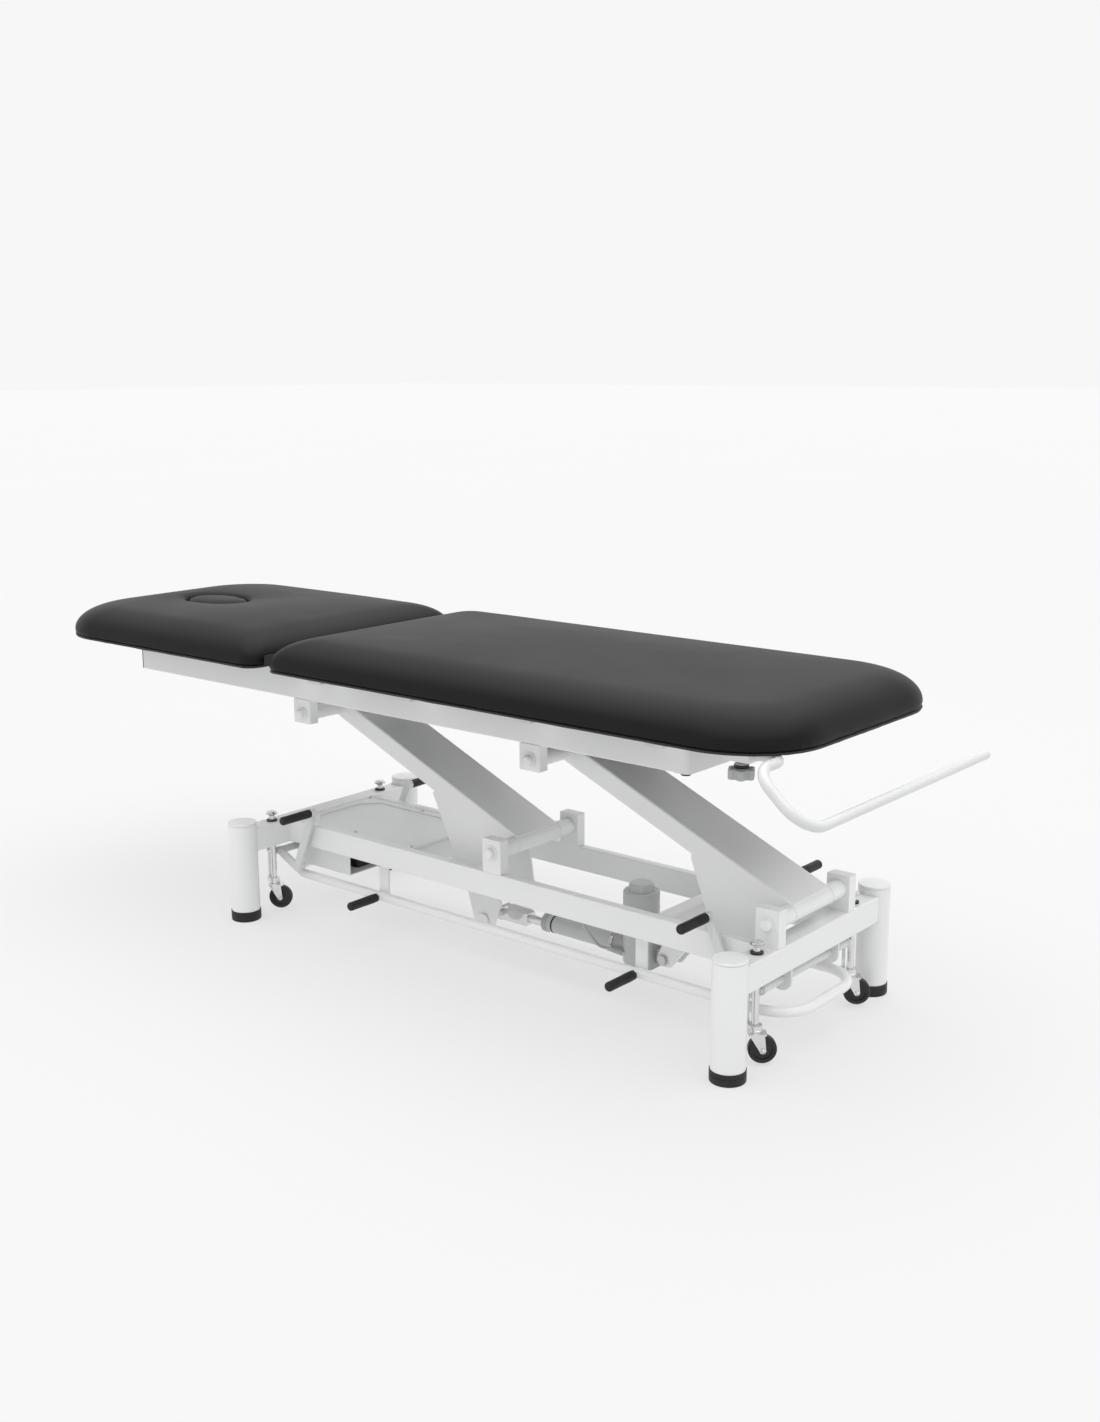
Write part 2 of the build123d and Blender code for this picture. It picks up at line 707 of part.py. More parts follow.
with BuildPart() as gearbox:
    with BuildSketch(Plane.YZ.offset(drive_tube_x1)):
        with Locations((0, anchor_z)):
            Circle(21)
    extrude(amount=motor_x - drive_tube_x1)
    with BuildSketch(Plane.XY.offset(46)):
        with Locations((motor_x + 22, 0)):
            RectangleRounded(44, 60, 8)
    extrude(amount=56)
    with BuildSketch(Plane.XZ):
        with Locations((anchor_x, anchor_z)):
            Circle(14)
        with Locations((anchor_x - 15, anchor_z)):
            Rectangle(30, 28)
        with Locations((anchor_x, anchor_z)):
            Circle(anchor_pin_r + running_gap, mode=Mode.SUBTRACT)
    extrude(amount=13, both=True)
    with BuildSketch(Plane.XY.offset(motor_z0)):
        with Locations((motor_x, 0)):
            Circle(motor_r + 0.1)
    extrude(amount=100, mode=Mode.SUBTRACT)
    with BuildSketch(Plane.YZ.offset(drive_tube_x1)):
        with Locations((0, anchor_z)):
            Circle(drive_bore_r)
    extrude(amount=gearbox_bore_x - drive_tube_x1, mode=Mode.SUBTRACT)
finish(gearbox, "gearbox")

with BuildPart() as drive_tube:
    with BuildSketch(Plane.YZ.offset(drive_tube_x0)):
        with Locations((0, anchor_z)):
            Circle(drive_tube_r)
            Circle(drive_bore_r, mode=Mode.SUBTRACT)
    extrude(amount=drive_tube_x1 - drive_tube_x0)
finish(drive_tube, "drive_tube")

with BuildPart() as drive_rod:
    with BuildSketch(Plane.XZ):
        with Locations((drive_tip_x, drive_tip_z)):
            Circle(15)
        with Locations((drive_tip_x + 36, drive_tip_z)):
            Rectangle(72, 26)
        with Locations((drive_tip_x, drive_tip_z)):
            Circle(drive_pin_r + running_gap, mode=Mode.SUBTRACT)
    extrude(amount=13, both=True)
    fillet(drive_rod.edges().filter_by(Axis.Y).group_by(Axis.X)[-1], 4)
    with BuildSketch(Plane.YZ.offset(drive_tip_x + 72)):
        with Locations((0, drive_tip_z)):
            Circle(rod_r)
    extrude(amount=rod_x1 - drive_tip_x - 72)
    chamfer(drive_rod.edges().group_by(Axis.X)[-1], 1.5)
finish(drive_rod, "drive_rod")

ear_y = 14.0
ear_t = 6.0
with BuildPart() as drive_bracket:
    with BuildSketch(Plane.XZ.offset(-ear_y - ear_t)):
        with BuildLine():
            Polyline((anchor_x - 12, anchor_z + 8), (anchor_x + 4, anchor_z - 14), (anchor_x + 18, anchor_z - 12),
                     (drive_member_x + 17, beam_z0 - 6), (drive_member_x + 17, beam_z0),
                     (drive_member_x - 45, beam_z0), close=True)
        make_face()
        with Locations((anchor_x, anchor_z)):
            Circle(14)
            Circle(anchor_pin_r, mode=Mode.SUBTRACT)
    extrude(amount=ear_t)
    mirror(about=Plane.XZ)
    with BuildSketch(Plane.XY.offset(beam_z0)):
        with Locations((drive_member_x - 14, 0)):
            Rectangle(62, 2 * (ear_y + ear_t))
    extrude(amount=-6)
finish(drive_bracket, "drive_bracket")

with BuildPart() as anchor_pin:
    with BuildSketch(Plane.XZ):
        with Locations((anchor_x, anchor_z)):
            Circle(anchor_pin_r)
    extrude(amount=ear_y + ear_t + 6, both=True)
    for side in (-1, 1):
        with BuildSketch(Plane.XZ.offset(-side * (ear_y + ear_t))):
            with Locations((anchor_x, anchor_z)):
                RegularPolygon(10, 6)
        extrude(amount=-side * 6)
finish(anchor_pin, "anchor_pin")

# =====================================================================
# Control box in its channel under the tray, and the motor's lead
# =====================================================================
channel_x0 = base_x - 590.0
channel_x1 = base_x - 435.0
channel_y = 106.0
channel_z0 = 98.0
sheet_t = 2.0

with BuildPart() as control_channel:
    with BuildSketch(Plane.YZ.offset(channel_x0)):
        with Locations((0, (channel_z0 + tray_top - tray_t) / 2)):
            Rectangle(2 * channel_y, tray_top - tray_t - channel_z0)
        with Locations((0, (channel_z0 + sheet_t + tray_top) / 2)):
            Rectangle(2 * (channel_y - sheet_t), tray_top - channel_z0 - sheet_t, mode=Mode.SUBTRACT)
    extrude(amount=channel_x1 - channel_x0)
finish(control_channel, "control_channel")

box_x = base_x - 512.0
box_len = 112.0
box_z0 = channel_z0 + sheet_t
with BuildPart() as control_box:
    with BuildSketch(Plane.XY.offset(box_z0)):
        with Locations((box_x, 0)):
            RectangleRounded(box_len, 130, 8)
    extrude(amount=46)
    fillet(control_box.edges().group_by(Axis.Z)[-1], 3)
    with BuildSketch(Plane.YZ.offset(box_x + box_len / 2)):
        with Locations((35, box_z0 + 23)):
            Rectangle(28, 21)
    extrude(amount=-16, mode=Mode.SUBTRACT)
finish(control_box, "control_box")

with BuildPart() as mains_inlet:
    with BuildSketch(Plane.YZ.offset(box_x + box_len / 2 - 16)):
        with Locations((35, box_z0 + 23)):
            Rectangle(27.6, 20.6)
            Rectangle(23, 16, mode=Mode.SUBTRACT)
    extrude(amount=17)
    with BuildSketch(Plane.YZ.offset(box_x + box_len / 2 - 16)):
        with Locations((35, box_z0 + 23)):
            Rectangle(27.6, 20.6)
    extrude(amount=2)
    with BuildSketch(Plane.YZ.offset(box_x + box_len / 2 - 14)):
        with Locations((35, box_z0 + 25), (28, box_z0 + 21), (42, box_z0 + 21)):
            Rectangle(2, 4)
    extrude(amount=12)
finish(mains_inlet, "mains_inlet")

# The lead: a free tail from the motor to the first clip, then along the near rail to the box.
first_clip_x = base_x + 160.0
clip_w = 10.0
lead_start = (relief_x0 - 1, relief_y, relief_z)
lead_end = (box_x + box_len / 2, -45, box_z0 + 25)
tail_route = [
    lead_start,
    (base_x + 178, relief_y - 2, relief_z + 1),
    (base_x + 173, -46, 88),
    (base_x + 186, -76, 112),
    (base_x + 189, lead_y, 136),
    (base_x + 180, lead_y, lead_z),
    (first_clip_x + clip_w / 2 + 0.1, lead_y, lead_z),
]
lead_route = [
    (first_clip_x + clip_w / 2, lead_y, lead_z),
    (base_x - 390, lead_y, lead_z),
    (base_x - 412, lead_y + 20, lead_z - 14),
    (lead_end[0] + 26, lead_end[1], lead_end[2]),
    lead_end,
]


def bend_radii(route):
    """The largest bend at each corner that leaves a little straight run on both sides of it."""
    points = [Vector(*place) for place in route]
    runs = [end - start for start, end in zip(points, points[1:])]
    radii = []
    for before, after in zip(runs, runs[1:]):
        half_turn = radians(before.get_angle(after) / 2)
        radii.append(0.45 * min(before.length, after.length) * cos(half_turn) / sin(half_turn))
    return radii


tail_radii = bend_radii(tail_route)
lead_radii = bend_radii(lead_route)

with BuildPart() as motor_lead_tail:
    with BuildLine() as tail_line:
        FilletPolyline(*tail_route, radius=tail_radii)
    with BuildSketch(Plane(origin=tail_line.line @ 0, z_dir=tail_line.line % 0)):
        Circle(lead_r)
    sweep()
finish(motor_lead_tail, "motor_lead_tail")
print("tail bend radii", [round(radius) for radius in tail_radii], "length", round(tail_line.wire().length, 1))

with BuildPart() as motor_lead:
    with BuildLine() as lead_line:
        FilletPolyline(*lead_route, radius=lead_radii)
    with BuildSketch(Plane(origin=lead_line.line @ 0, z_dir=lead_line.line % 0)):
        Circle(lead_r)
    sweep()
finish(motor_lead, "motor_lead")
print("lead bend radii", [round(radius) for radius in lead_radii], "length", round(lead_line.wire().length, 1))

with BuildPart() as cable_clips:
    for clip_x in (first_clip_x, base_x - 25, base_x - 205, base_x - 360):
        with BuildSketch(Plane.YZ.offset(clip_x - clip_w / 2)):
            with Locations(((lead_y + 5 - cross_half) / 2, lead_z)):
                RectangleRounded(cross_half + lead_y + 5, 12, 2)
            with Locations((lead_y, lead_z)):
                Circle(lead_r + 0.1, mode=Mode.SUBTRACT)
        extrude(amount=clip_w)
finish(cable_clips, "cable_clips")

# =====================================================================
# Foot bar: a closed tube loop hung from the rails, pressed down or lifted anywhere along it
# =====================================================================
bar_y = 121.0
loop_z = 80.0
loop_r = 9.5
loop_x0 = base_x - 620.0
loop_x1 = base_x + 661.0
loop_corner = 70.0
hanger_places = [base_x - 328, base_x + 338]
hanger_w = 26.0
hanger_t = 4.0
hanger_y = 107.5
hanger_top = 183.0
peg_r = 5.0
peg_grip_r = 9.0
peg_root_y = 133.0
peg_tip_y = 207.0

with BuildPart() as foot_bar:
    with BuildLine(Plane.XY.offset(loop_z)) as loop_line:
        FilletPolyline((base_x, -bar_y), (loop_x1, -bar_y), (loop_x1, bar_y), (loop_x0, bar_y),
                       (loop_x0, -bar_y), (base_x - 1, -bar_y), radius=loop_corner)
        Line((base_x - 1, -bar_y), (base_x, -bar_y))
    with BuildSketch(Plane(origin=(base_x, -bar_y, loop_z), z_dir=(1, 0, 0))):
        Circle(loop_r)
        Circle(loop_r - 1.5, mode=Mode.SUBTRACT)
    sweep()
    for side in (-1, 1):
        with BuildSketch(Plane.XZ.offset(-side * (hanger_y + hanger_t / 2))):
            with Locations(*[(x, (loop_z - 6 + hanger_top) / 2) for x in hanger_places]):
                RectangleRounded(hanger_w, hanger_top - loop_z + 6, 4)
        extrude(amount=side * hanger_t)
        with BuildSketch(Plane.XZ.offset(-side * hanger_y)):
            with Locations(*[(x, loop_z) for x in hanger_places]):
                Circle(6)
        extrude(amount=-side * 8)
    with BuildSketch(Plane.XZ.offset(hanger_y - hanger_t / 2 - 7)):
        with Locations(*[(x, loop_z) for x in hanger_places]):
            Circle(peg_r)
    extrude(amount=peg_tip_y - hanger_y + hanger_t / 2 + 7)
finish(foot_bar, "foot_bar")

with BuildPart() as foot_bar_grips:
    with BuildSketch(Plane.XZ.offset(peg_root_y)):
        with Locations(*[(x, loop_z) for x in hanger_places]):
            Circle(peg_grip_r)
    extrude(amount=peg_tip_y + 3 - peg_root_y)
    fillet(foot_bar_grips.faces().sort_by(Axis.Y)[:2].edges(), 5)
    fillet(foot_bar_grips.faces().sort_by(Axis.Y)[-2:].edges(), 1.5)
    with BuildSketch(Plane.XZ.offset(peg_root_y)):
        with Locations(*[(x, loop_z) for x in hanger_places]):
            Circle(peg_r)
    extrude(amount=peg_tip_y - peg_root_y, mode=Mode.SUBTRACT)
finish(foot_bar_grips, "foot_bar_grips")

# Each hanger slides in a guide on the inside of the side rail, which holds the up and down switches.
guide_gap = 0.5
guide_in_y = hanger_y - hanger_t / 2 - guide_gap
with BuildPart() as foot_bar_guides:
    for side in (-1, 1):
        with BuildSketch(Plane.XZ.offset(-side * cross_half)):
            with Locations(*[(x, 170) for x in hanger_places]):
                Rectangle(hanger_w + 14, 26)
        extrude(amount=side * (cross_half - guide_in_y + 2.5))
        with BuildSketch(Plane.XZ.offset(-side * cross_half)):
            with Locations(*[(x, 170) for x in hanger_places]):
                Rectangle(hanger_w + 2 * guide_gap, 26)
        extrude(amount=side * (cross_half - guide_in_y), mode=Mode.SUBTRACT)
finish(foot_bar_guides, "foot_bar_guides")

# =====================================================================
# Castor lifts: one cross shaft at each end, with levers, cranks, bushes and bearing plates
# =====================================================================
lever_t = 6.0
lever_y = 143.0
lever_w = 18.0
elbow = (55.0, -28.0)
grip_root = (111.0, 105.0)
crank_y = 148.0
crank_t = 5.5
crank_pin_r = 3.0
crank_dx = -crank_r * cos(radians(crank_half_angle))
crank_dz = crank_r * sin(radians(crank_half_angle))
eye_dx = -crank_r * (1 + cos(radians(crank_half_angle))) / 2
eye_bore_r = 3.8
eye_r = 7.0
eye_z = shaft_z + crank_dz
ring_y1 = 151.0
grip_y1 = 230.0
plate_y = 80.0

with BuildPart() as lift_shaft_plates:
    with BuildSketch(Plane.XZ.offset(-plate_y - 2.5)):
        with Locations((foot_end, shaft_z), (head_end, shaft_z)):
            Circle(20)
        with Locations((foot_end, (shaft_z + beam_z0) / 2), (head_end, (shaft_z + beam_z0) / 2)):
            Rectangle(40, beam_z0 - shaft_z)
        with Locations((foot_end, shaft_z), (head_end, shaft_z)):
            Circle(shaft_r + running_gap, mode=Mode.SUBTRACT)
    extrude(amount=5)
    mirror(about=Plane.XZ)
finish(lift_shaft_plates, "lift_shaft_plates")

with BuildPart() as castor_bushes:
    with BuildSketch(Plane.XY.offset(beam_z0 - 2)):
        with Locations((foot_end, castor_y)):
            Circle(bush_hole_r - 0.05)
    extrude(amount=beam_h + 4)
    for z, height in ((beam_z0 - 2.5, 2.4), (beam_z1 + 0.05, 3.2)):
        with BuildSketch(Plane.XY.offset(z)):
            with Locations((foot_end, castor_y)):
                Circle(11.5)
        extrude(amount=height)
    with BuildSketch(Plane.XY.offset(beam_z0 - 4)):
        with Locations((foot_end, castor_y)):
            Circle(stem_r + running_gap)
    extrude(amount=beam_h + 10, mode=Mode.SUBTRACT)
    mirror(about=Plane.XZ)
    mirror(about=middle)
finish(castor_bushes, "castor_bushes")


def lever_point(end_x, inward, place):
    """A point of the lever's outline in the XZ plane, from its place beside the shaft."""
    return (end_x + inward * place[0], shaft_z + place[1])


def lift_shaft(name, end_x, inward):
    """Cross shaft with a hand lever and a castor crank at both ends; inward is +1 or -1 along X."""
    low, high = lever_point(end_x, inward, elbow), lever_point(end_x, inward, grip_root)
    with BuildPart() as shaft:
        with BuildSketch(Plane.XZ):
            with Locations((end_x, shaft_z)):
                Circle(shaft_r)
        extrude(amount=crank_y, both=True)
        for side in (-1, 1):
            with BuildSketch(Plane.XZ.offset(-side * (lever_y + lever_t / 2))):
                for start, end in (((end_x, shaft_z), low), (low, high)):
                    SlotCenterPoint(((start[0] + end[0]) / 2, (start[1] + end[1]) / 2), end, lever_w)
            extrude(amount=side * lever_t)
            with BuildSketch(Plane.XZ.offset(-side * crank_y)):
                SlotCenterPoint((end_x + crank_dx / 2, shaft_z + crank_dz / 2),
                                (end_x + crank_dx, shaft_z + crank_dz), 10)
            extrude(amount=-side * crank_t)
            with BuildSketch(Plane.XZ.offset(-side * crank_y)):
                with Locations((end_x + crank_dx, eye_z)):
                    Circle(crank_pin_r)
            extrude(amount=-side * 19)
            with BuildSketch(Plane.XZ.offset(-side * lever_y)):
                with Locations(high):
                    Circle(8)
            extrude(amount=-side * (ring_y1 - lever_y))
            with BuildSketch(Plane.XZ.offset(-side * lever_y)):
                with Locations(high):
                    Circle(peg_r)
            extrude(amount=-side * (grip_y1 - 3 - lever_y))
    finish(shaft, name)


def lift_grips(name, end_x, inward):
    """Rubber grips on both levers of one shaft."""
    place = lever_point(end_x, inward, grip_root)
    with BuildPart() as grips:
        with BuildSketch(Plane.XZ.offset(-ring_y1)):
            with Locations(place):
                Circle(peg_grip_r)
        extrude(amount=-(grip_y1 - ring_y1))
        fillet(grips.edges().group_by(Axis.Y)[-1], 5)
        fillet(grips.edges().group_by(Axis.Y)[0], 1.5)
        with BuildSketch(Plane.XZ.offset(-ring_y1)):
            with Locations(place):
                Circle(peg_r)
        extrude(amount=-(grip_y1 - 3 - ring_y1), mode=Mode.SUBTRACT)
        mirror(about=Plane.XZ)
    finish(grips, name)


# =====================================================================
# Castors: stems with their drive rods, swivelling forks and wheels
# =====================================================================
collar_z0 = 60.5
collar_z1 = 72.0
head_z0 = 212.3
kingpin_r = 3.0
axle_r = 3.0
fork_leg_y = 9.4
fork_leg_t = 2.5
fork_top_z = 57.4


def castor_stems(name, end_x):
    """Both stems of one end, each with a mushroom head and the eye rod that the crank moves."""
    with BuildPart() as stems:
        for side in (-1, 1):
            y = side * castor_y
            with BuildSketch(Plane.XY.offset(collar_z0)):
                with Locations((end_x, y)):
                    Circle(12)
                SlotCenterPoint((end_x + eye_dx / 2, y), (end_x + eye_dx, y), 12)
            extrude(amount=collar_z1 - collar_z0)
            with BuildSketch(Plane.XY.offset(collar_z0)):
                with Locations((end_x, y)):
                    Circle(stem_r)
            extrude(amount=head_z0 - collar_z0)
            with BuildSketch(Plane.XY.offset(head_z0)):
                with Locations((end_x, y)):
                    Circle(8)
            extrude(amount=5, taper=-38)
            with BuildSketch(Plane.XY.offset(head_z0 + 5)):
                with Locations((end_x, y)):
                    Circle(11.9)
            extrude(amount=2.5, taper=25)
            with BuildSketch(Plane.XY.offset(collar_z1)):
                with Locations((end_x + eye_dx, y)):
                    Circle(3.2)
            extrude(amount=eye_z - eye_bore_r - 1 - collar_z1)
            with BuildSketch(Plane.XZ.offset(-y - 3)):
                with Locations((end_x + eye_dx, eye_z)):
                    Circle(eye_r)
            extrude(amount=6)
            with BuildSketch(Plane.XZ.offset(-y - 3)):
                with Locations((end_x + eye_dx, eye_z)):
                    Circle(eye_bore_r)
            extrude(amount=6, mode=Mode.SUBTRACT)
            with BuildSketch(Plane.XY.offset(collar_z0)):
                with Locations((end_x, y)):
                    Circle(kingpin_r + running_gap)
            extrude(amount=11, mode=Mode.SUBTRACT)
    finish(stems, name)


def castor_fork(name, end_x, y, angle):
    """Swivelling fork with its king pin and axle; the wheel trails towards the angle."""
    trail_x, trail_y = cos(radians(angle)), sin(radians(angle))
    across = Plane(origin=(end_x, y, 0), x_dir=(trail_x, trail_y, 0), z_dir=(trail_y, -trail_x, 0))
    level = Plane(origin=(end_x, y, 0), x_dir=(trail_x, trail_y, 0), z_dir=(0, 0, 1))
    half_w = fork_leg_y + fork_leg_t
    with BuildPart() as fork:
        with BuildSketch(level.offset(fork_top_z - 3)):
            with Locations((4, 0)):
                RectangleRounded(32, 2 * half_w, 4)
        extrude(amount=3)
        with BuildSketch(level.offset(fork_top_z)):
            Circle(12)
        extrude(amount=collar_z0 - 0.3 - fork_top_z)
        with BuildSketch(level.offset(fork_top_z)):
            Circle(kingpin_r)
        extrude(amount=13)
        for side in (-1, 1):
            with BuildSketch(across.offset(side * fork_leg_y)):
                with BuildLine():
                    Polyline((-10, fork_top_z - 2), (16, fork_top_z - 2), (castor_trail + 5.6, wheel_z),
                             (castor_trail - 5, wheel_z - 2), close=True)
                make_face()
                with Locations((castor_trail, wheel_z)):
                    Circle(5.8)
            extrude(amount=side * fork_leg_t)
            with BuildSketch(across.offset(side * half_w)):
                with Locations((castor_trail, wheel_z)):
                    Circle(4.6)
            extrude(amount=side * 2)
        with BuildSketch(across):
            with Locations((castor_trail, wheel_z)):
                Circle(axle_r)
        extrude(amount=half_w, both=True)
    finish(fork, name)


def castor_wheel(name, end_x, y, angle):
    """Solid wheel with rounded tread edges and a dished hub on both faces."""
    trail_x, trail_y = cos(radians(angle)), sin(radians(angle))
    centre = Plane(origin=(end_x + castor_trail * trail_x, y + castor_trail * trail_y, wheel_z),
                   x_dir=(trail_x, trail_y, 0), z_dir=(trail_y, -trail_x, 0))
    with BuildPart() as wheel:
        with BuildSketch(centre):
            Circle(wheel_r)
        extrude(amount=wheel_w / 2, both=True)
        fillet(wheel.edges(), 4)
        for side in (-1, 1):
            with BuildSketch(centre.offset(side * wheel_w / 2)):
                Circle(17)
                Circle(8, mode=Mode.SUBTRACT)
            extrude(amount=-side * 2, mode=Mode.SUBTRACT)
        with BuildSketch(centre):
            Circle(axle_r + running_gap)
        extrude(amount=wheel_w, both=True, mode=Mode.SUBTRACT)
    finish(wheel, name)


for end_name, end_x, inward in (("head", head_end, 1), ("foot", foot_end, -1)):
    lift_shaft(f"{end_name}_lift_shaft", end_x, inward)
    lift_grips(f"{end_name}_lift_grips", end_x, inward)
    castor_stems(f"{end_name}_castor_stems", end_x)

castors = [
    ("head_near", head_end, -castor_y, 36),
    ("head_far", head_end, castor_y, 42),
    ("foot_near", foot_end, -castor_y, 40),
    ("foot_far", foot_end, castor_y, 35),
]
for place, end_x, y, angle in castors:
    castor_fork(f"castor_fork_{place}", end_x, y, angle)
    castor_wheel(f"castor_wheel_{place}", end_x, y, angle)
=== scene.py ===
import math

import bmesh
import bpy
from mathutils import Matrix, Vector, noise
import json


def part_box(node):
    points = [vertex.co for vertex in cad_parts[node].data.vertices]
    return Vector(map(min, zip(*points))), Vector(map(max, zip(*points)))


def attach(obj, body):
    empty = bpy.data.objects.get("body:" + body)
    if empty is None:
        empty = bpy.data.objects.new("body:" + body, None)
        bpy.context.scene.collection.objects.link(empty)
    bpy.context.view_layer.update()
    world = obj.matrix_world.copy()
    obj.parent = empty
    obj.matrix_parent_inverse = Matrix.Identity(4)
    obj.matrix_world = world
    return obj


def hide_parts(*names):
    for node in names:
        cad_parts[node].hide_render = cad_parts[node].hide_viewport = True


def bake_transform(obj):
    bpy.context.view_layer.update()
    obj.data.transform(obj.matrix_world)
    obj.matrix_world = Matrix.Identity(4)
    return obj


# Looks for the examination couch. Everything is in metres, in the CAD frame.
# +X points to the foot end, +Y to the far side, +Z up.

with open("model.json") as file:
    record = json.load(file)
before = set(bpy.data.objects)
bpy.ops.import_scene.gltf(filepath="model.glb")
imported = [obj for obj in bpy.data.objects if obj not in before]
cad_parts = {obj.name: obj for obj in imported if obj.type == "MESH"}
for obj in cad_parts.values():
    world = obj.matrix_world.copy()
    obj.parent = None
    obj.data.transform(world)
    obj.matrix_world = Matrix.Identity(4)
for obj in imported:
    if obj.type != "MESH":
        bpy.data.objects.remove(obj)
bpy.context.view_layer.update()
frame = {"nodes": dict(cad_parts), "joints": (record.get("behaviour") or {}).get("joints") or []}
scene = bpy.context.scene
scene.view_settings.view_transform = "Standard"


# =====================================================================
# Materials
# =====================================================================
def material(name, color, rough, metal=0.0, **sockets):
    """A principled material; constants go straight on the shader's own sockets."""
    mat = bpy.data.materials.new(name)
    mat.use_nodes = True
    bsdf = mat.node_tree.nodes["Principled BSDF"]
    bsdf.inputs["Base Color"].default_value = (*color, 1)
    bsdf.inputs["Roughness"].default_value = rough
    bsdf.inputs["Metallic"].default_value = metal
    for socket, value in sockets.items():
        bsdf.inputs[socket.replace("_", " ")].default_value = value
    return mat


def add(mat, kind, **values):
    """A node in the tree of a material or the world, with its properties set."""
    node = mat.node_tree.nodes.new(kind)
    for key, value in values.items():
        setattr(node, key, value)
    return node


def object_coords(mat, stretch=(1, 1, 1)):
    """Object coordinates in metres, stretched for brushed or woven looks."""
    coords = add(mat, "ShaderNodeTexCoord")
    mapping = add(mat, "ShaderNodeMapping")
    mapping.inputs["Scale"].default_value = stretch
    mat.node_tree.links.new(coords.outputs["Object"], mapping.inputs["Vector"])
    return mapping.outputs["Vector"]


def noise_tex(mat, vector, scale, detail=3.0, rough=0.5):
    node = add(mat, "ShaderNodeTexNoise")
    node.inputs["Scale"].default_value = scale
    node.inputs["Detail"].default_value = detail
    node.inputs["Roughness"].default_value = rough
    mat.node_tree.links.new(vector, node.inputs["Vector"])
    return node.outputs["Fac"]


def ramp(mat, fac, stops):
    """Colour ramp from (place, colour) stops."""
    node = add(mat, "ShaderNodeValToRGB")
    elements = node.color_ramp.elements
    while len(elements) < len(stops):
        elements.new(0.5)
    for element, (place, color) in zip(elements, stops):
        element.position = place
        element.color = (*color, 1)
    mat.node_tree.links.new(fac, node.inputs["Fac"])
    return node.outputs["Color"]


def remap(mat, fac, low, high, start=0.35, end=0.65):
    node = add(mat, "ShaderNodeMapRange")
    for socket, value in (("From Min", start), ("From Max", end), ("To Min", low), ("To Max", high)):
        node.inputs[socket].default_value = value
    mat.node_tree.links.new(fac, node.inputs["Value"])
    return node.outputs["Result"]


def bump(mat, height, distance, strength=1.0, below=None):
    """Bump from a height output; below chains it over a coarser bump."""
    node = add(mat, "ShaderNodeBump")
    node.inputs["Distance"].default_value = distance
    node.inputs["Strength"].default_value = strength
    mat.node_tree.links.new(height, node.inputs["Height"])
    if below:
        mat.node_tree.links.new(below, node.inputs["Normal"])
    return node.outputs["Normal"]


def wire(mat, output, socket):
    mat.node_tree.links.new(output, mat.node_tree.nodes["Principled BSDF"].inputs[socket])


def tone_drift(mat, fac, color, darkest):
    """Base colour that drifts between a darker tone and the colour itself."""
    wire(mat, ramp(mat, fac, [(0.3, [c * darkest for c in color]), (0.7, color)]), "Base Color")


def painted(name, color, rough=0.33, peel=0.00004):
    """Powder coat: faint orange peel, slow tone drift and slightly rubbed patches."""
    mat = material(name, color, rough, Coat_Weight=0.15, Coat_Roughness=0.25)
    at = object_coords(mat)
    slow = noise_tex(mat, at, 5.0, 4.0)
    tone_drift(mat, slow, color, 0.965)
    wire(mat, remap(mat, noise_tex(mat, at, 38.0, 5.0), rough - 0.05, rough + 0.07), "Roughness")
    wire(mat, bump(mat, noise_tex(mat, at, 420.0, 2.0), peel), "Normal")
    return mat


def metal(name, color, rough, brush=(1, 1, 1), drift=0.05):
    """Plated or brushed metal with drifting roughness."""
    mat = material(name, color, rough, 1.0)
    at = object_coords(mat, brush)
    fine = noise_tex(mat, at, 260.0, 4.0)
    wire(mat, remap(mat, fine, max(rough - drift, 0.03), rough + drift), "Roughness")
    tone_drift(mat, noise_tex(mat, at, 22.0), color, 0.9)
    wire(mat, bump(mat, fine, 0.00002), "Normal")
    return mat


def moulded(name, color, rough, grain=900.0, depth=0.00006):
    """Moulded plastic or rubber with a fine spark-eroded grain."""
    mat = material(name, color, rough)
    at = object_coords(mat)
    wire(mat, remap(mat, noise_tex(mat, at, 60.0, 4.0), rough - 0.06, rough + 0.08), "Roughness")
    tone_drift(mat, noise_tex(mat, at, 14.0), color, 0.85)
    wire(mat, bump(mat, noise_tex(mat, at, grain, 2.0), depth), "Normal")
    return mat


def upholstery(name, color):
    """Embossed vinyl: pebble grain, slow sheen drift and very shallow creases."""
    mat = material(name, color, 0.46, Specular_IOR_Level=0.14)
    at = object_coords(mat)
    pebble = add(mat, "ShaderNodeTexVoronoi", feature="SMOOTH_F1")
    pebble.inputs["Scale"].default_value = 620.0
    mat.node_tree.links.new(at, pebble.inputs["Vector"])
    creases = noise_tex(mat, object_coords(mat, (1.0, 2.0, 1.0)), 5.0, 3.0, 0.5)
    coarse = bump(mat, creases, 0.0009, 0.25)
    wire(mat, bump(mat, pebble.outputs["Distance"], 0.00012, 0.55, coarse), "Normal")
    wire(mat, remap(mat, noise_tex(mat, at, 4.0, 3.0), 0.43, 0.48), "Roughness")
    tone_drift(mat, noise_tex(mat, at, 3.0, 4.0), color, 0.88)
    return mat


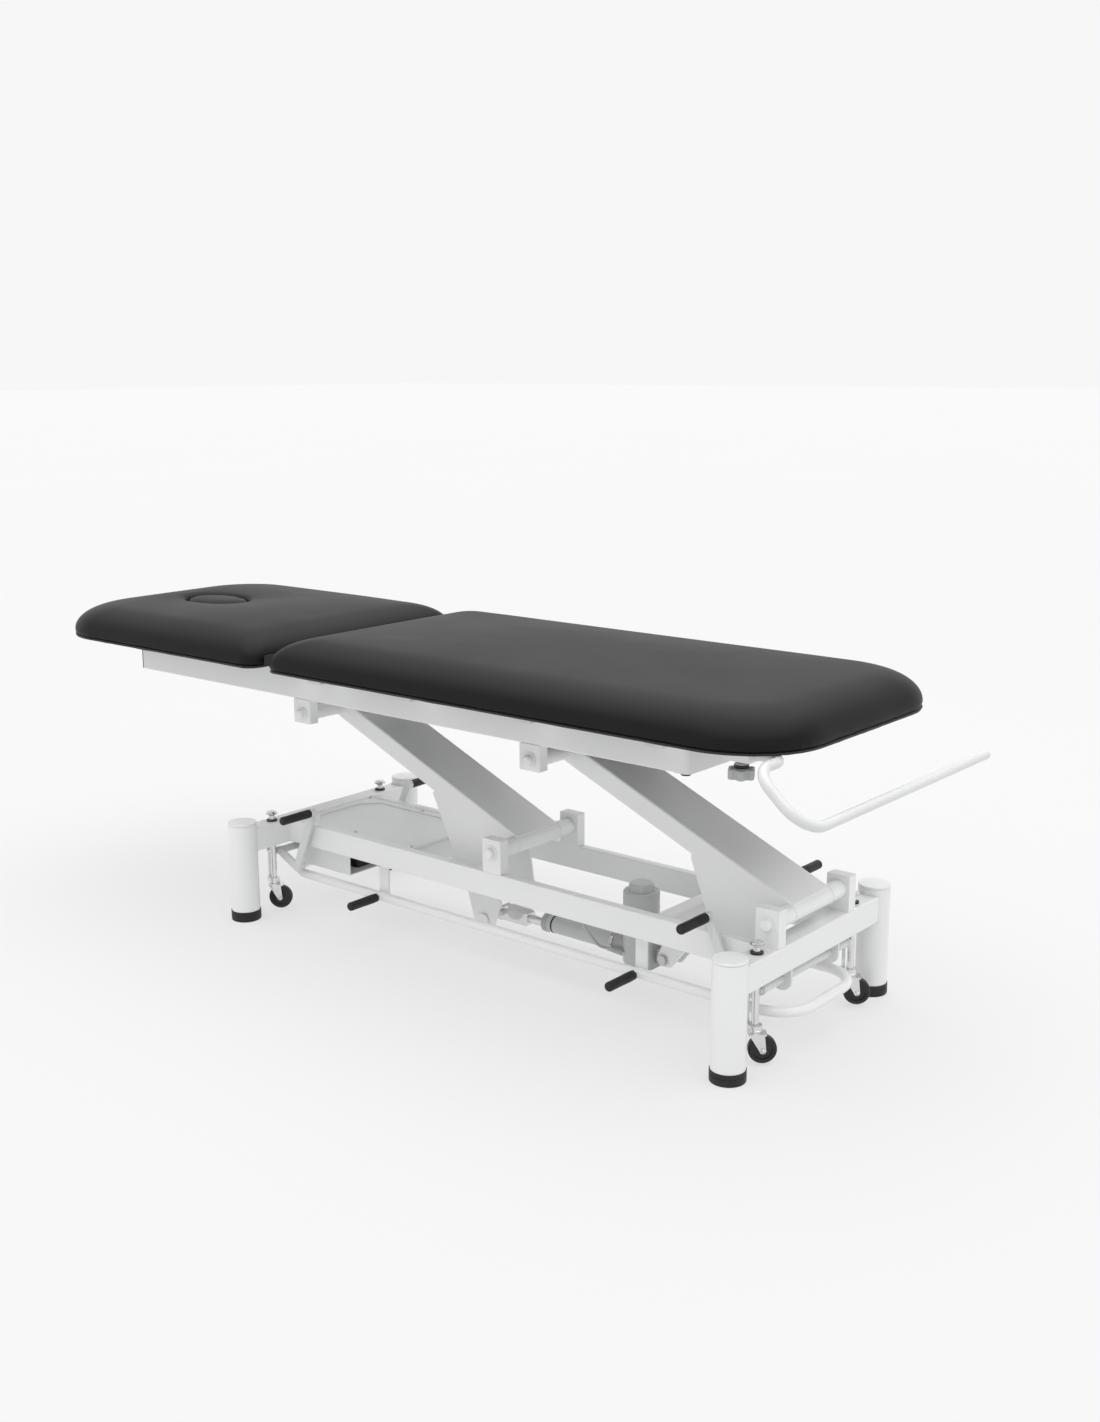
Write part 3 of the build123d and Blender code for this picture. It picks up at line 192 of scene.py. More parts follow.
def woven(name, color, threads=900.0):
    """Plain weave from two crossed wave patterns."""
    mat = material(name, color, 0.9, Sheen_Weight=0.25)
    at = object_coords(mat)
    heights = []
    for direction in ("Y", "Z"):
        wave = add(mat, "ShaderNodeTexWave", bands_direction=direction)
        wave.inputs["Scale"].default_value = threads / 6
        wave.inputs["Distortion"].default_value = 0.6
        mat.node_tree.links.new(at, wave.inputs["Vector"])
        heights.append(wave.outputs["Fac"])
    both = add(mat, "ShaderNodeMath", operation="MULTIPLY")
    for socket, height in zip(both.inputs, heights):
        mat.node_tree.links.new(height, socket)
    wire(mat, bump(mat, both.outputs["Value"], 0.0003), "Normal")
    tone_drift(mat, noise_tex(mat, at, 40.0), color, 0.7)
    return mat


def plywood(name):
    mat = material(name, (0.5, 0.36, 0.2), 0.6)
    at = object_coords(mat, (1, 14, 14))
    grain = noise_tex(mat, at, 6.0, 8.0, 0.6)
    wire(mat, ramp(mat, grain, [(0.35, (0.36, 0.24, 0.12)), (0.6, (0.55, 0.4, 0.23))]), "Base Color")
    wire(mat, bump(mat, grain, 0.0004), "Normal")
    return mat


white_paint = painted("white_powder_coat", (0.82, 0.825, 0.825))
# Paper bar: gloss white paint, greyed below the frame's white as painted shade so the top-lit bar is no
# brighter than the frame.
shaded_bar_paint = painted("white_gloss_bar_painted_shade", (0.68, 0.685, 0.69), 0.2)
shaft_paint = painted("grey_shaft_paint", (0.70, 0.71, 0.715), 0.3)
motor_paint = painted("motor_grey", (0.50, 0.51, 0.515), 0.36, 0.00008)
vinyl = upholstery("dark_grey_vinyl", (0.0080, 0.0082, 0.0086))
chrome = metal("chrome_plate", (0.78, 0.78, 0.79), 0.11, drift=0.04)
zinc = metal("zinc_plate", (0.62, 0.62, 0.61), 0.32, (1, 1, 0.2), 0.09)
tray_metal = painted("tray_light_grey", (0.78, 0.79, 0.79), 0.38)
rubber = moulded("black_rubber", (0.005, 0.005, 0.005), 0.52, 700.0, 0.00012)
tyre = moulded("black_wheel", (0.006, 0.006, 0.0065), 0.40)
black_plastic = moulded("black_plastic", (0.006, 0.006, 0.0065), 0.42)
gear_plastic = moulded("gear_housing_grey", (0.42, 0.425, 0.43), 0.42)
white_plastic = moulded("white_plastic", (0.8, 0.8, 0.79), 0.35)
knob_plastic = moulded("knob_grey", (0.47, 0.475, 0.48), 0.34)
cable_skin = moulded("grey_cable", (0.5, 0.5, 0.49), 0.45)
lining = woven("black_lining", (0.02, 0.02, 0.021))
board_wood = plywood("birch_plywood")

castors = ("head_near", "head_far", "foot_near", "foot_far")
node_materials = {
    white_paint: ["base_posts", "base_end_beams", "base_side_rails", "base_cross_members",
                  "lower_bearing_blocks", "upper_bearing_blocks", "drive_bracket", "head_arm",
                  "foot_arm", "upper_frame", "pad_bearers", "head_frame", "holder_clamp", "foot_bar",
                  "post_caps", "lower_pivot_bolts", "upper_pivot_bolts", "head_arm_shafts",
                  "foot_arm_shafts"],
    shaded_bar_paint: ["paper_bar"],
    shaft_paint: ["head_lift_shaft", "foot_lift_shaft", "lift_shaft_plates"],
    tray_metal: ["tray_plate", "control_channel"],
    motor_paint: ["motor_housing", "drive_tube"],
    gear_plastic: ["gearbox"],
    chrome: ["drive_rod", "head_castor_stems", "foot_castor_stems",
             *(f"castor_fork_{place}" for place in castors)],
    zinc: ["anchor_pin", "head_hinges"],
    rubber: ["rubber_feet", "foot_bar_grips", "head_lift_grips", "foot_lift_grips"],
    tyre: [f"castor_wheel_{place}" for place in castors],
    black_plastic: ["rail_plugs", "mains_inlet", "castor_bushes", "control_box"],
    white_plastic: ["cable_clips", "foot_bar_guides"],
    knob_plastic: ["clamp_knob"],
    cable_skin: ["motor_lead", "motor_lead_tail"],
    board_wood: ["main_board", "head_board"],
    vinyl: ["main_pad", "head_pad", "face_plug"],
    lining: ["gap_flap"],
}
for mat, names in node_materials.items():
    for name in names:
        node = frame["nodes"][name]
        if not node.material_slots:
            node.data.materials.append(mat)
        for slot in node.material_slots:
            slot.material = mat


# =====================================================================
# Helpers for pieces
# =====================================================================
def piece(name, verts, faces, mat, body, smooth=True):
    """A mesh object with a material that rides on a CAD body."""
    mesh = bpy.data.meshes.new(name)
    mesh.from_pydata([tuple(v) for v in verts], [], faces)
    mesh.materials.append(mat)
    mesh.validate()
    if smooth:
        mesh.shade_smooth()
    obj = bpy.data.objects.new(name, mesh)
    scene.collection.objects.link(obj)
    if body:
        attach(obj, body)
    return obj


def rings_to_mesh(rings, closed_loop=False):
    """Vertices and quads through equal-length rings of points; an open row of rings is capped."""
    count = len(rings[0])
    verts = [point for ring in rings for point in ring]
    pairs = list(zip(range(len(rings)), range(1, len(rings))))
    if closed_loop:
        pairs.append((len(rings) - 1, 0))
    faces = [(a * count + i, a * count + (i + 1) % count,
              b * count + (i + 1) % count, b * count + i)
             for a, b in pairs for i in range(count)]
    if not closed_loop:
        faces.append(tuple(reversed(range(count))))
        faces.append(tuple(range((len(rings) - 1) * count, len(rings) * count)))
    return verts, faces


def fix_normals(obj):
    mesh = bmesh.new()
    mesh.from_mesh(obj.data)
    bmesh.ops.recalc_face_normals(mesh, faces=mesh.faces)
    mesh.to_mesh(obj.data)
    mesh.free()


def loft(name, rings, mat, body, closed_loop=False, smooth=True):
    """A piece through rings of points, with its normals facing outward."""
    obj = piece(name, *rings_to_mesh(rings, closed_loop), mat, body, smooth)
    fix_normals(obj)
    return obj


def polar(reach, angle):
    return reach * math.cos(angle), reach * math.sin(angle)


# =====================================================================
# Pads
# =====================================================================
HALF_Y = 0.304
OUTER_R = 0.150
GAP_R = 0.036
EDGE_IN = 0.086
EDGE_DOWN = 0.055
SLACK = 0.004
SWELL_ROUNDS = 14
SWELL_CAP = 0.0045
MIN_CORNER_R = 0.032
VOXEL = 0.006
FRAMES = 20
CORNER_STEPS = 18
SIDE_STEPS = 30
PIN_MARGIN = 0.006


def outline(outer_x, gap_x, inset, z):
    """One ring of a pad's outline, counter-clockwise from +X, with as many points at every inset."""
    left, right = min(outer_x, gap_x), max(outer_x, gap_x)
    r_left, r_right = (OUTER_R, GAP_R) if outer_x < gap_x else (GAP_R, OUTER_R)
    r_left, r_right = (max(r - 0.6 * inset, MIN_CORNER_R) for r in (r_left, r_right))
    left, right, half = left + inset, right - inset, HALF_Y - inset
    corners = [(right - r_right, half - r_right, r_right, 0),
               (left + r_left, half - r_left, r_left, 90),
               (left + r_left, r_left - half, r_left, 180),
               (right - r_right, r_right - half, r_right, 270)]
    arcs = []
    for x, y, radius, start in corners:
        turns = [math.radians(start + 90 * step / CORNER_STEPS) for step in range(CORNER_STEPS + 1)]
        arcs.append([Vector((x + radius * math.cos(t), y + radius * math.sin(t), z)) for t in turns])
    ring = []
    for arc, following in zip(arcs, arcs[1:] + arcs[:1]):
        ring += arc
        ring += [arc[-1].lerp(following[0], step / SIDE_STEPS) for step in range(1, SIDE_STEPS)]
    return ring


def pad_rings(outer_x, gap_x, z0, top, crown, hole=None):
    """Rings from a pad's underside round its edge to the crown, then into the hole or the middle."""
    bottom = [(0.045, z0), (0.012, z0), (0.004, z0 + 0.001), (0.0, z0 + 0.006)]
    edge_z0 = top - EDGE_DOWN
    side = [(0.0, z0 + 0.5 * (edge_z0 - z0))]
    edge = [(EDGE_IN * (1 - math.cos(t)), edge_z0 + EDGE_DOWN * math.sin(t))
            for t in (math.radians(7.5 * step) for step in range(13))]
    rings = [outline(outer_x, gap_x, inset + SLACK, z) for inset, z in bottom + side + edge]
    shoulder = rings[-1]
    centre = Vector((hole[0], 0, 0)) if hole else Vector(((outer_x + gap_x) / 2, 0, 0))
    radii = (hole[1], hole[2]) if hole else (0.02, 0.02)
    dip = 0.005 if hole else 0.0
    ellipse = []
    for point in shoulder:
        angle = math.atan2((point.y - centre.y) / radii[1], (point.x - centre.x) / radii[0])
        ellipse.append(Vector((centre.x + radii[0] * math.cos(angle), radii[1] * math.sin(angle), 0)))
    for step in range(1, 13):
        share = step / 13
        rise = top + crown * (1 - (1 - share) ** 2) - dip * share ** 4
        rings.append([Vector((*point.lerp(rim, share).xy, rise))
                      for point, rim in zip(shoulder, ellipse)])
    if hole:
        roll = 0.011
        for t in (math.radians(15 * step) for step in range(7)):
            grow = roll * (1 - math.sin(t))
            drop = roll * (1 - math.cos(t))
            height = top + crown - dip - drop
            rings.append([Vector(((p.x - centre.x) * (1 + grow / radii[0]) + centre.x,
                                  p.y * (1 + grow / radii[1]), height)) for p in ellipse])
        for z in (top - 0.025, z0 + 0.018, z0):
            rings.append([Vector((p.x, p.y, z)) for p in ellipse])
    return rings


def voxel_remesh(obj, size):
    modifier = obj.modifiers.new("remesh", "REMESH")
    modifier.mode = "VOXEL"
    modifier.voxel_size = size
    modifier.use_smooth_shade = True
    apply_modifiers(obj)


def apply_modifiers(obj):
    evaluated = obj.evaluated_get(bpy.context.evaluated_depsgraph_get())
    mesh = bpy.data.meshes.new_from_object(evaluated)
    obj.modifiers.clear()
    obj.data = mesh


def inflate(obj, pinned, cap):
    """Cloth under pressure with the pinned points held; the cover swells outward by up to cap."""
    rest = [vertex.co.copy() for vertex in obj.data.vertices]
    normals = [vertex.normal.copy() for vertex in obj.data.vertices]
    held = [vertex.index for vertex in obj.data.vertices if pinned(vertex.co)]
    group = obj.vertex_groups.new(name="held")
    group.add(held, 1.0, "REPLACE")
    cloth = obj.modifiers.new("cloth", "CLOTH")
    settings = cloth.settings
    settings.quality = 4
    settings.mass = 0.35
    settings.tension_stiffness = 18
    settings.compression_stiffness = 18
    settings.shear_stiffness = 8
    settings.bending_stiffness = 0.6
    settings.use_pressure = True
    settings.uniform_pressure_force = 4.0
    settings.effector_weights.gravity = 0.0
    settings.vertex_group_mass = "held"
    settings.pin_stiffness = 1.0
    cloth.collision_settings.use_collision = False
    cloth.point_cache.frame_start = 1
    cloth.point_cache.frame_end = FRAMES
    for number in range(1, FRAMES + 1):
        scene.frame_set(number)
    evaluated = obj.evaluated_get(bpy.context.evaluated_depsgraph_get())
    moved = [vertex.co.copy() for vertex in evaluated.data.vertices]
    obj.modifiers.clear()
    obj.vertex_groups.clear()
    swell = [max(0.0, (end - start).dot(normal)) for start, end, normal in zip(rest, moved, normals)]
    edges = [tuple(edge.vertices) for edge in obj.data.edges]
    for _ in range(SWELL_ROUNDS):
        total, count = swell[:], [1] * len(swell)
        for one, other in edges:
            total[one] += swell[other]
            total[other] += swell[one]
            count[one] += 1
            count[other] += 1
        swell = [amount / number for amount, number in zip(total, count)]
        for index in held:
            swell[index] = 0.0
    scale = cap / max(swell)
    for vertex, start, normal, amount in zip(obj.data.vertices, rest, normals, swell):
        vertex.co = start + normal * amount * min(1.0, scale)
    scene.frame_set(1)


def relax(obj, rounds=2):
    modifier = obj.modifiers.new("smooth", "CORRECTIVE_SMOOTH")
    modifier.iterations = rounds
    modifier.smooth_type = "LENGTH_WEIGHTED"
    modifier.use_only_smooth = True
    apply_modifiers(obj)


def pucker(obj, z0, depth=0.0011, reach=0.022):
    """Shallow gathers where the cover is drawn down and under the board."""
    for vertex in obj.data.vertices:
        low = 1 - (vertex.co.z - z0) / reach
        if low > 0 and abs(vertex.normal.z) < 0.85:
            place = Vector((vertex.co.x * 26, vertex.co.y * 26, 3.7))
            wave = noise.noise(place) + 0.5 * noise.noise(place * 2.3)
            out = Vector((vertex.normal.x, vertex.normal.y, 0))
            vertex.co += out * (depth * wave * min(low, 0.8))


def make_pad(name, node, body, outward, hole=None):
    lo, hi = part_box(node)
    outer_x, gap_x = (hi.x, lo.x) if outward > 0 else (lo.x, hi.x)
    crown = 0.0035
    top = hi.z - crown - SLACK
    rings = pad_rings(outer_x, gap_x, lo.z, top, crown, hole)
    obj = loft(name, rings, vinyl, None, closed_loop=bool(hole))
    voxel_remesh(obj, VOXEL)
    obj.data.materials.clear()
    obj.data.materials.append(vinyl)
    hole_x = hole[0] if hole else 0.0

    def pinned(co):
        in_hole = hole and math.hypot((co.x - hole_x) / (hole[1] + PIN_MARGIN),
                                      co.y / (hole[2] + PIN_MARGIN)) < 1
        return co.z < lo.z + 0.007 or (in_hole and co.z < top - 0.01)

    inflate(obj, pinned, SWELL_CAP)
    relax(obj)
    pucker(obj, lo.z)
    obj.data.shade_smooth()
    levels = obj.modifiers.new("subdivision", "SUBSURF")
    levels.levels = levels.render_levels = 1
    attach(obj, body)
    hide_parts(node)


plug_lo, plug_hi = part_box("face_plug")
plug_x = (plug_lo.x + plug_hi.x) / 2
plug_rx = (plug_hi.x - plug_lo.x) / 2
plug_ry = (plug_hi.y - plug_lo.y) / 2
make_pad("main_cushion", "main_pad", "upper", 1)
make_pad("head_cushion", "head_pad", "head_section", -1, (plug_x, plug_rx + 0.001, plug_ry + 0.001))


def ellipse_ring(inset, z, count=96):
    return [Vector((plug_x + (plug_rx - inset) * math.cos(math.tau * i / count),
                    (plug_ry - inset) * math.sin(math.tau * i / count), z)) for i in range(count)]


plug_profile = [(0.030, plug_lo.z), (0.006, plug_lo.z), (0.002, plug_lo.z + 0.004),
                (0.0015, plug_lo.z + 0.015), (0.0015, plug_hi.z - 0.012),
                (0.0035, plug_hi.z - 0.005), (0.009, plug_hi.z + 0.0005),
                (0.018, plug_hi.z + 0.0035), (0.032, plug_hi.z + 0.0055), (0.050, plug_hi.z + 0.006)]
plug = loft("face_hole_plug", [ellipse_ring(inset, z) for inset, z in plug_profile], vinyl, "plug")
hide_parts("face_plug")


# =====================================================================
# Lining under the pads and the flap in the gap
# =====================================================================
def lining_strip(name, node, body, outward):
    """Thin stapled lining edge that shows as a wavy dark line under a pad."""
    lo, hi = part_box(node)
    outer_x, gap_x = (hi.x, lo.x) if outward > 0 else (lo.x, hi.x)
    section = [(0.002, 0.0004), (0.0008, -0.0006), (0.0016, -0.0026), (0.006, -0.0034),
               (0.020, -0.0030), (0.020, 0.0004)]
    rings = []
    for inset, rise in section:
        ring = []
        for point in outline(outer_x, gap_x, inset + SLACK, lo.z + 0.0012 + rise):
            wave = noise.noise(point * 21.0) + 0.6 * noise.noise(point * 55.0)
            shift = (0.0012 * wave) if inset < 0.01 else 0.0
            centre = Vector(((outer_x + gap_x) / 2, 0, point.z))
            inward = (centre - point).normalized()
            ring.append(point + inward * shift + Vector((0, 0, -0.0007 * abs(wave))))
        rings.append(ring)
    strip = loft(name, rings, lining, body, closed_loop=True)


lining_strip("main_lining_edge", "main_pad", "upper", 1)
lining_strip("head_lining_edge", "head_pad", "head_section", -1)

flap_lo, flap_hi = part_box("gap_flap")
flap_width, flap_height = flap_hi.y - flap_lo.y, flap_hi.z - flap_lo.z
verts, faces = [], []
COLUMNS, ROWS = 120, 10
for row in range(ROWS + 1):
    for column in range(COLUMNS + 1):
        y = flap_lo.y + flap_width * column / COLUMNS
        rise = row / ROWS
        sway = 0.0012 * noise.noise(Vector((y * 14, rise * 1.2, 5))) + 0.0006 * math.sin(y * 61)
        lean = 0.0030 * rise ** 2
        verts.append((flap_lo.x + 0.0006 + lean + sway * rise, y, flap_lo.z + flap_height * rise))
for row in range(ROWS):
    for column in range(COLUMNS):
        corner = row * (COLUMNS + 1) + column
        faces.append((corner, corner + 1, corner + COLUMNS + 2, corner + COLUMNS + 1))
flap = piece("gap_lining_flap", verts, faces, lining, "head_section")
thick = flap.modifiers.new("thickness", "SOLIDIFY")
thick.thickness = 0.0009
thick.offset = 0
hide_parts("gap_flap")


# =====================================================================
# Turned details: screws, rings, hub caps
# =====================================================================
def turned(name, profile, place, axis, mat, body, count=40):
    """A closed turned piece; profile is (along the axis, radius) from the inside out."""
    turn = Vector(axis).to_track_quat("Z", "Y").to_matrix()
    rings = []
    for along, radius in profile:
        ring = [Vector((*polar(radius, math.tau * i / count), along)) for i in range(count)]
        rings.append([Vector(place) + turn @ point for point in ring])
    loft(name, rings, mat, body)


def ring_band(name, place, axis, inner, outer, width, mat, body, count=56):
    """A rounded band round a shaft, such as a ferrule or a seam."""
    turn = Vector(axis).to_track_quat("Z", "Y").to_matrix()
    round_off = min(outer - inner, width) * 0.3
    section = [(0, inner), (0, outer - round_off), (round_off, outer), (width - round_off, outer),
               (width, outer - round_off), (width, inner)]
    rings = [[Vector(place) + turn @ Vector((*polar(radius, math.tau * i / count), along))
              for i in range(count)] for along, radius in section]
    loft(name, rings, mat, body, closed_loop=True)


# Height and radius over the head's radius, and whether that ring is the socket's hexagon. The first
# height is a plain depth in metres, just under the seat.
SCREW_RINGS = [(-0.0004, 1.0, False), (0.0, 1.0, False), (0.35, 0.93, False), (0.62, 0.72, False),
               (0.70, 0.52, False), (0.68, 0.46, True), (0.25, 0.44, True)]


def socket_screw(name, place, axis, radius, mat, body):
    """Button-head screw with a hexagonal socket."""
    turn = Vector(axis).to_track_quat("Z", "Y").to_matrix()
    count = 48
    rings = []
    for along, size, hexed in SCREW_RINGS:
        ring = []
        for i in range(count):
            angle = math.tau * i / count
            reach = radius * size
            if hexed:
                reach *= math.cos(math.pi / 6) / math.cos((angle % (math.pi / 3)) - math.pi / 6)
            height = along if along < 0 else along * radius
            ring.append(Vector(place) + turn @ Vector((*polar(reach, angle), height)))
        rings.append(ring)
    loft(name, rings, mat, body, smooth=False)


def bead(name, path, radius, mat, body):
    """A closed weld bead along a path of points, a little uneven like a real one."""
    rings = []
    total = len(path)
    for index, point in enumerate(path):
        along = (path[(index + 1) % total] - path[index - 1]).normalized()
        side = along.cross(Vector((0.13, 0.21, 0.97))).normalized()
        other = along.cross(side).normalized()
        size = radius * (1 + 0.16 * math.sin(index * 2.1) + 0.1 * noise.noise(point * 300))
        spokes = [polar(size, math.tau * i / 8) for i in range(8)]
        rings.append([point + side * across + other * over for across, over in spokes])
    loft(name, rings, mat, body, closed_loop=True)


def rectangle_path(half_a, half_b, per_side=40):
    """Points round a rectangle, as (a, b) pairs."""
    corners = [(half_a, -half_b), (half_a, half_b), (-half_a, half_b), (-half_a, -half_b)]
    path = []
    for (a0, b0), (a1, b1) in zip(corners, corners[1:] + corners[:1]):
        path += [(a0 + (a1 - a0) * step / per_side, b0 + (b1 - b0) * step / per_side)
                 for step in range(per_side)]
    return path


# Welds of the base and of the pivot tubes.
SIDES = (("near", -1), ("far", 1))
posts_lo, posts_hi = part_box("base_posts")
base_x = (posts_lo.x + posts_hi.x) / 2
beam_lo, beam_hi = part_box("base_end_beams")
rail_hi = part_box("base_side_rails")[1]
POST_R = 0.030
BEAM_W = 0.044
RAIL_HALF_W = 0.010
beam_mid = (beam_lo.z + beam_hi.z) / 2
beam_half = (beam_hi.z - beam_lo.z) / 2
for end_name, end_x in (("head", posts_lo.x + POST_R), ("foot", posts_hi.x - POST_R)):
    for side_name, side in SIDES:
        post_y = side * (posts_hi.y - POST_R)
        path = [Vector((end_x + a, post_y - side * math.sqrt(POST_R ** 2 - a ** 2), beam_mid + b))
                for a, b in rectangle_path(BEAM_W / 2, beam_half)]
        bead(f"post_weld_{end_name}_{side_name}", path, 0.0013, white_paint, "base")
        inward = 1 if end_name == "head" else -1
        rail_x = end_x + inward * BEAM_W / 2
        path = [Vector((rail_x, side * (rail_hi.y - RAIL_HALF_W) + a, beam_mid + b))
                for a, b in rectangle_path(RAIL_HALF_W, beam_half)]
        bead(f"rail_weld_{end_name}_{side_name}", path, 0.0011, white_paint, "base")


def pivot_bead(name, x, z, y, radius, body):
    steps = 120
    offsets = [polar(radius, math.tau * i / steps) for i in range(steps)]
    bead(name, [Vector((x + dx, y, z + dz)) for dx, dz in offsets], 0.0014, white_paint, body)


joint_at = {joint["name"]: joint for joint in frame["joints"]}
TUBE_R = 0.017
WELD_Y = 0.062 + 0.0004
low_head = Vector(joint_at["height"]["pos_m"])
low_foot = Vector(joint_at["foot_arm_pivot"]["pos_m"])
up_head = Vector(joint_at["level"]["pos_m"])
up_foot = up_head + low_foot - low_head
for word, side in SIDES:
    for label, pivot, body in (
            ("head_low", low_head, "head_arm_body"), ("head_up", up_head, "head_arm_body"),
            ("foot_low", low_foot, "foot_arm_body"), ("foot_up", up_foot, "foot_arm_body")):
        pivot_bead(f"tube_weld_{label}_{word}", pivot.x, pivot.z, side * WELD_Y, TUBE_R, body)

# Castors: hub caps, axle screws, and the rings and dishes of the stems.
HUB_CAP = [(0.0, 0.0001), (0.0, 0.0078), (0.0008, 0.0078), (0.0014, 0.0066), (0.0016, 0.0034)]
STEM_DISH = [(0.0, 0.0001), (0.0, 0.0085), (0.0005, 0.0088), (0.0009, 0.0080), (0.0004, 0.0040),
             (0.0001, 0.0010)]
HUB_FACE, FORK_FACE = 0.0066, 0.0139
RACE_Z = 0.0607
for place in castors:
    roll = joint_at[f"roll_{place}"]
    axle = Vector(roll["pos_m"])
    along = Vector(roll["axis"])
    for side in (-1, 1):
        word = "a" if side < 0 else "b"
        turned(f"hub_cap_{place}_{word}", HUB_CAP, axle + along * side * HUB_FACE, along * side,
               tyre, f"wheel_{place}")
        socket_screw(f"axle_screw_{place}_{word}", axle + along * side * FORK_FACE, along * side,
                     0.0040, chrome, f"fork_{place}")
for end in ("head", "foot"):
    stem_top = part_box(f"{end}_castor_stems")[1].z
    for word, _ in SIDES:
        x, y, _ = joint_at[f"swivel_{end}_{word}"]["pos_m"]
        ring_band(f"stem_ring_{end}_{word}", (x, y, stem_top - 0.0052), (0, 0, 1),
                  0.0112, 0.0126, 0.0018, chrome, f"{end}_stems")
        turned(f"stem_dish_{end}_{word}", STEM_DISH, (x, y, stem_top - 0.0001), (0, 0, 1),
               chrome, f"{end}_stems")
        ring_band(f"race_ring_{end}_{word}", (x, y, RACE_Z), (0, 0, 1),
                  0.0105, 0.0130, 0.0032, chrome, f"{end}_stems")

# Pressed caps in the open ends of the bearers under the main board.
bearer_lo, bearer_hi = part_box("pad_bearers")
CAP_HALF_W, CAP_EDGE, CAP_T = 0.0192, 0.0005, 0.0012
cap_z0, cap_z1 = bearer_lo.z + CAP_EDGE, bearer_hi.z - CAP_EDGE
BEARER_X = (-0.380, -0.130, 0.165, 0.452)
for number, along in enumerate(BEARER_X):
    for word, side in SIDES:
        face = [(-CAP_HALF_W, cap_z0), (CAP_HALF_W, cap_z0), (CAP_HALF_W, cap_z1), (-CAP_HALF_W, cap_z1)]
        loft(f"bearer_cap_{number}_{word}",
             [[Vector((base_x + along + w, side * (bearer_hi.y + out), z)) for w, z in face]
              for out in (-0.0004, CAP_T)], white_plastic, "upper", smooth=False)

# Grips: a chrome ferrule at the root, and shallow rings along the rubber.
GRIP_ROOT = 0.151
RIBS, RIB_PITCH = 4, 0.006
RIB_SECTION = (0.0084, 0.0093, 0.0022)
for end in ("head", "foot"):
    lo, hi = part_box(f"{end}_lift_grips")
    centre_x, centre_z = (lo.x + hi.x) / 2, (lo.z + hi.z) / 2
    for word, side in SIDES:
        root = side * GRIP_ROOT
        ring_band(f"grip_ferrule_{end}_{word}", (centre_x, root - side * 0.0032, centre_z),
                  (0, side, 0), 0.0045, 0.0098, 0.0042, chrome, f"{end}_lift")
        for index in range(RIBS):
            rib_y = root + side * (0.008 + RIB_PITCH * index)
            ring_band(f"grip_rib_{end}_{word}_{index}", (centre_x, rib_y, centre_z), (0, side, 0),
                      *RIB_SECTION, rubber, f"{end}_lift")
grip_lo, grip_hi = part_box("foot_bar_grips")
for label, x in (("head", grip_lo.x + 0.009), ("foot", grip_hi.x - 0.009)):
    z = (grip_lo.z + grip_hi.z) / 2
    ring_band(f"peg_ferrule_{label}", (x, grip_hi.y + 0.0045, z), (0, -1, 0),
              0.0048, 0.0085, 0.0042, chrome, "pedal_bar")
    for index in range(RIBS):
        ring_band(f"peg_rib_{label}_{index}", (x, grip_hi.y - 0.010 - RIB_PITCH * index, z),
                  (0, -1, 0), *RIB_SECTION, rubber, "pedal_bar")

# Drive: motor seams and cap screws, bands on the outer tube, and washers on the anchor pin.
# The housing's box also holds the lead's strain relief, so the motor is placed from its foot side.
SEAM_UP, FOOT_SEAM_UP, SCREW_SEAT_UP = 0.118, 0.070, 0.1524
SCREW_CIRCLE_R = 0.0305
motor_lo, motor_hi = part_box("motor_housing")
motor_r = motor_hi.y
motor_x = motor_hi.x - motor_r
ring_band("motor_seam", (motor_x, 0, motor_lo.z + SEAM_UP), (0, 0, 1),
          motor_r - 0.001, motor_r + 0.0007, 0.0026, motor_paint, "motor")
ring_band("motor_foot_seam", (motor_x, 0, motor_lo.z + FOOT_SEAM_UP), (0, 0, 1),
          motor_r - 0.001, motor_r + 0.0010, 0.0030, motor_paint, "motor")
for index in range(4):
    dx, dy = polar(SCREW_CIRCLE_R, math.radians(45 + 90 * index))
    socket_screw(f"motor_screw_{index}", (motor_x + dx, dy, motor_lo.z + SCREW_SEAT_UP), (0, 0, 1),
                 0.0024, zinc, "motor")
tube_lo, tube_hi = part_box("drive_tube")
tube_z = (tube_lo.z + tube_hi.z) / 2
for label, x, inner, outer, width, mat in (
        ("collar", tube_lo.x - 0.001, 0.0165, 0.0195, 0.012, gear_plastic),
        ("band", tube_lo.x + 0.022, 0.0175, 0.0184, 0.004, black_plastic),
        ("clamp", tube_hi.x - 0.012, 0.0175, 0.0205, 0.010, zinc)):
    ring_band(f"drive_tube_{label}", (x, 0, tube_z), (1, 0, 0), inner, outer, width, mat, "motor")
pin_lo, pin_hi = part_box("anchor_pin")
pin_x, pin_z = (pin_lo.x + pin_hi.x) / 2, (pin_lo.z + pin_hi.z) / 2
for word, side in SIDES:
    ring_band(f"anchor_washer_{word}", (pin_x, side * 0.0200, pin_z), (0, side, 0),
              0.0062, 0.0125, 0.0012, zinc, "base")

# Control box: cooling ribs and corner screws. Tray: edge screws.
box_lo, box_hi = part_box("control_box")
RIB_HALF_X, RIB_HALF_Y = 0.002, 0.040
rib_corners = [(-RIB_HALF_X, -RIB_HALF_Y), (RIB_HALF_X, -RIB_HALF_Y),
               (RIB_HALF_X, RIB_HALF_Y), (-RIB_HALF_X, RIB_HALF_Y)]
for index in range(7):
    x = box_lo.x + 0.026 + 0.010 * index
    loft(f"box_slot_rib_{index}", [[Vector((x + dx, dy, box_hi.z + dz)) for dx, dy in rib_corners]
                                   for dz in (-0.0008, 0.0006)], black_plastic, "base", smooth=False)
for index, (sx, sy) in enumerate(((0.010, -1), (0.010, 1), (0.102, -1), (0.102, 1))):
    socket_screw(f"box_screw_{index}", (box_lo.x + sx, sy * 0.054, box_hi.z), (0, 0, 1),
                 0.0028, zinc, "base")
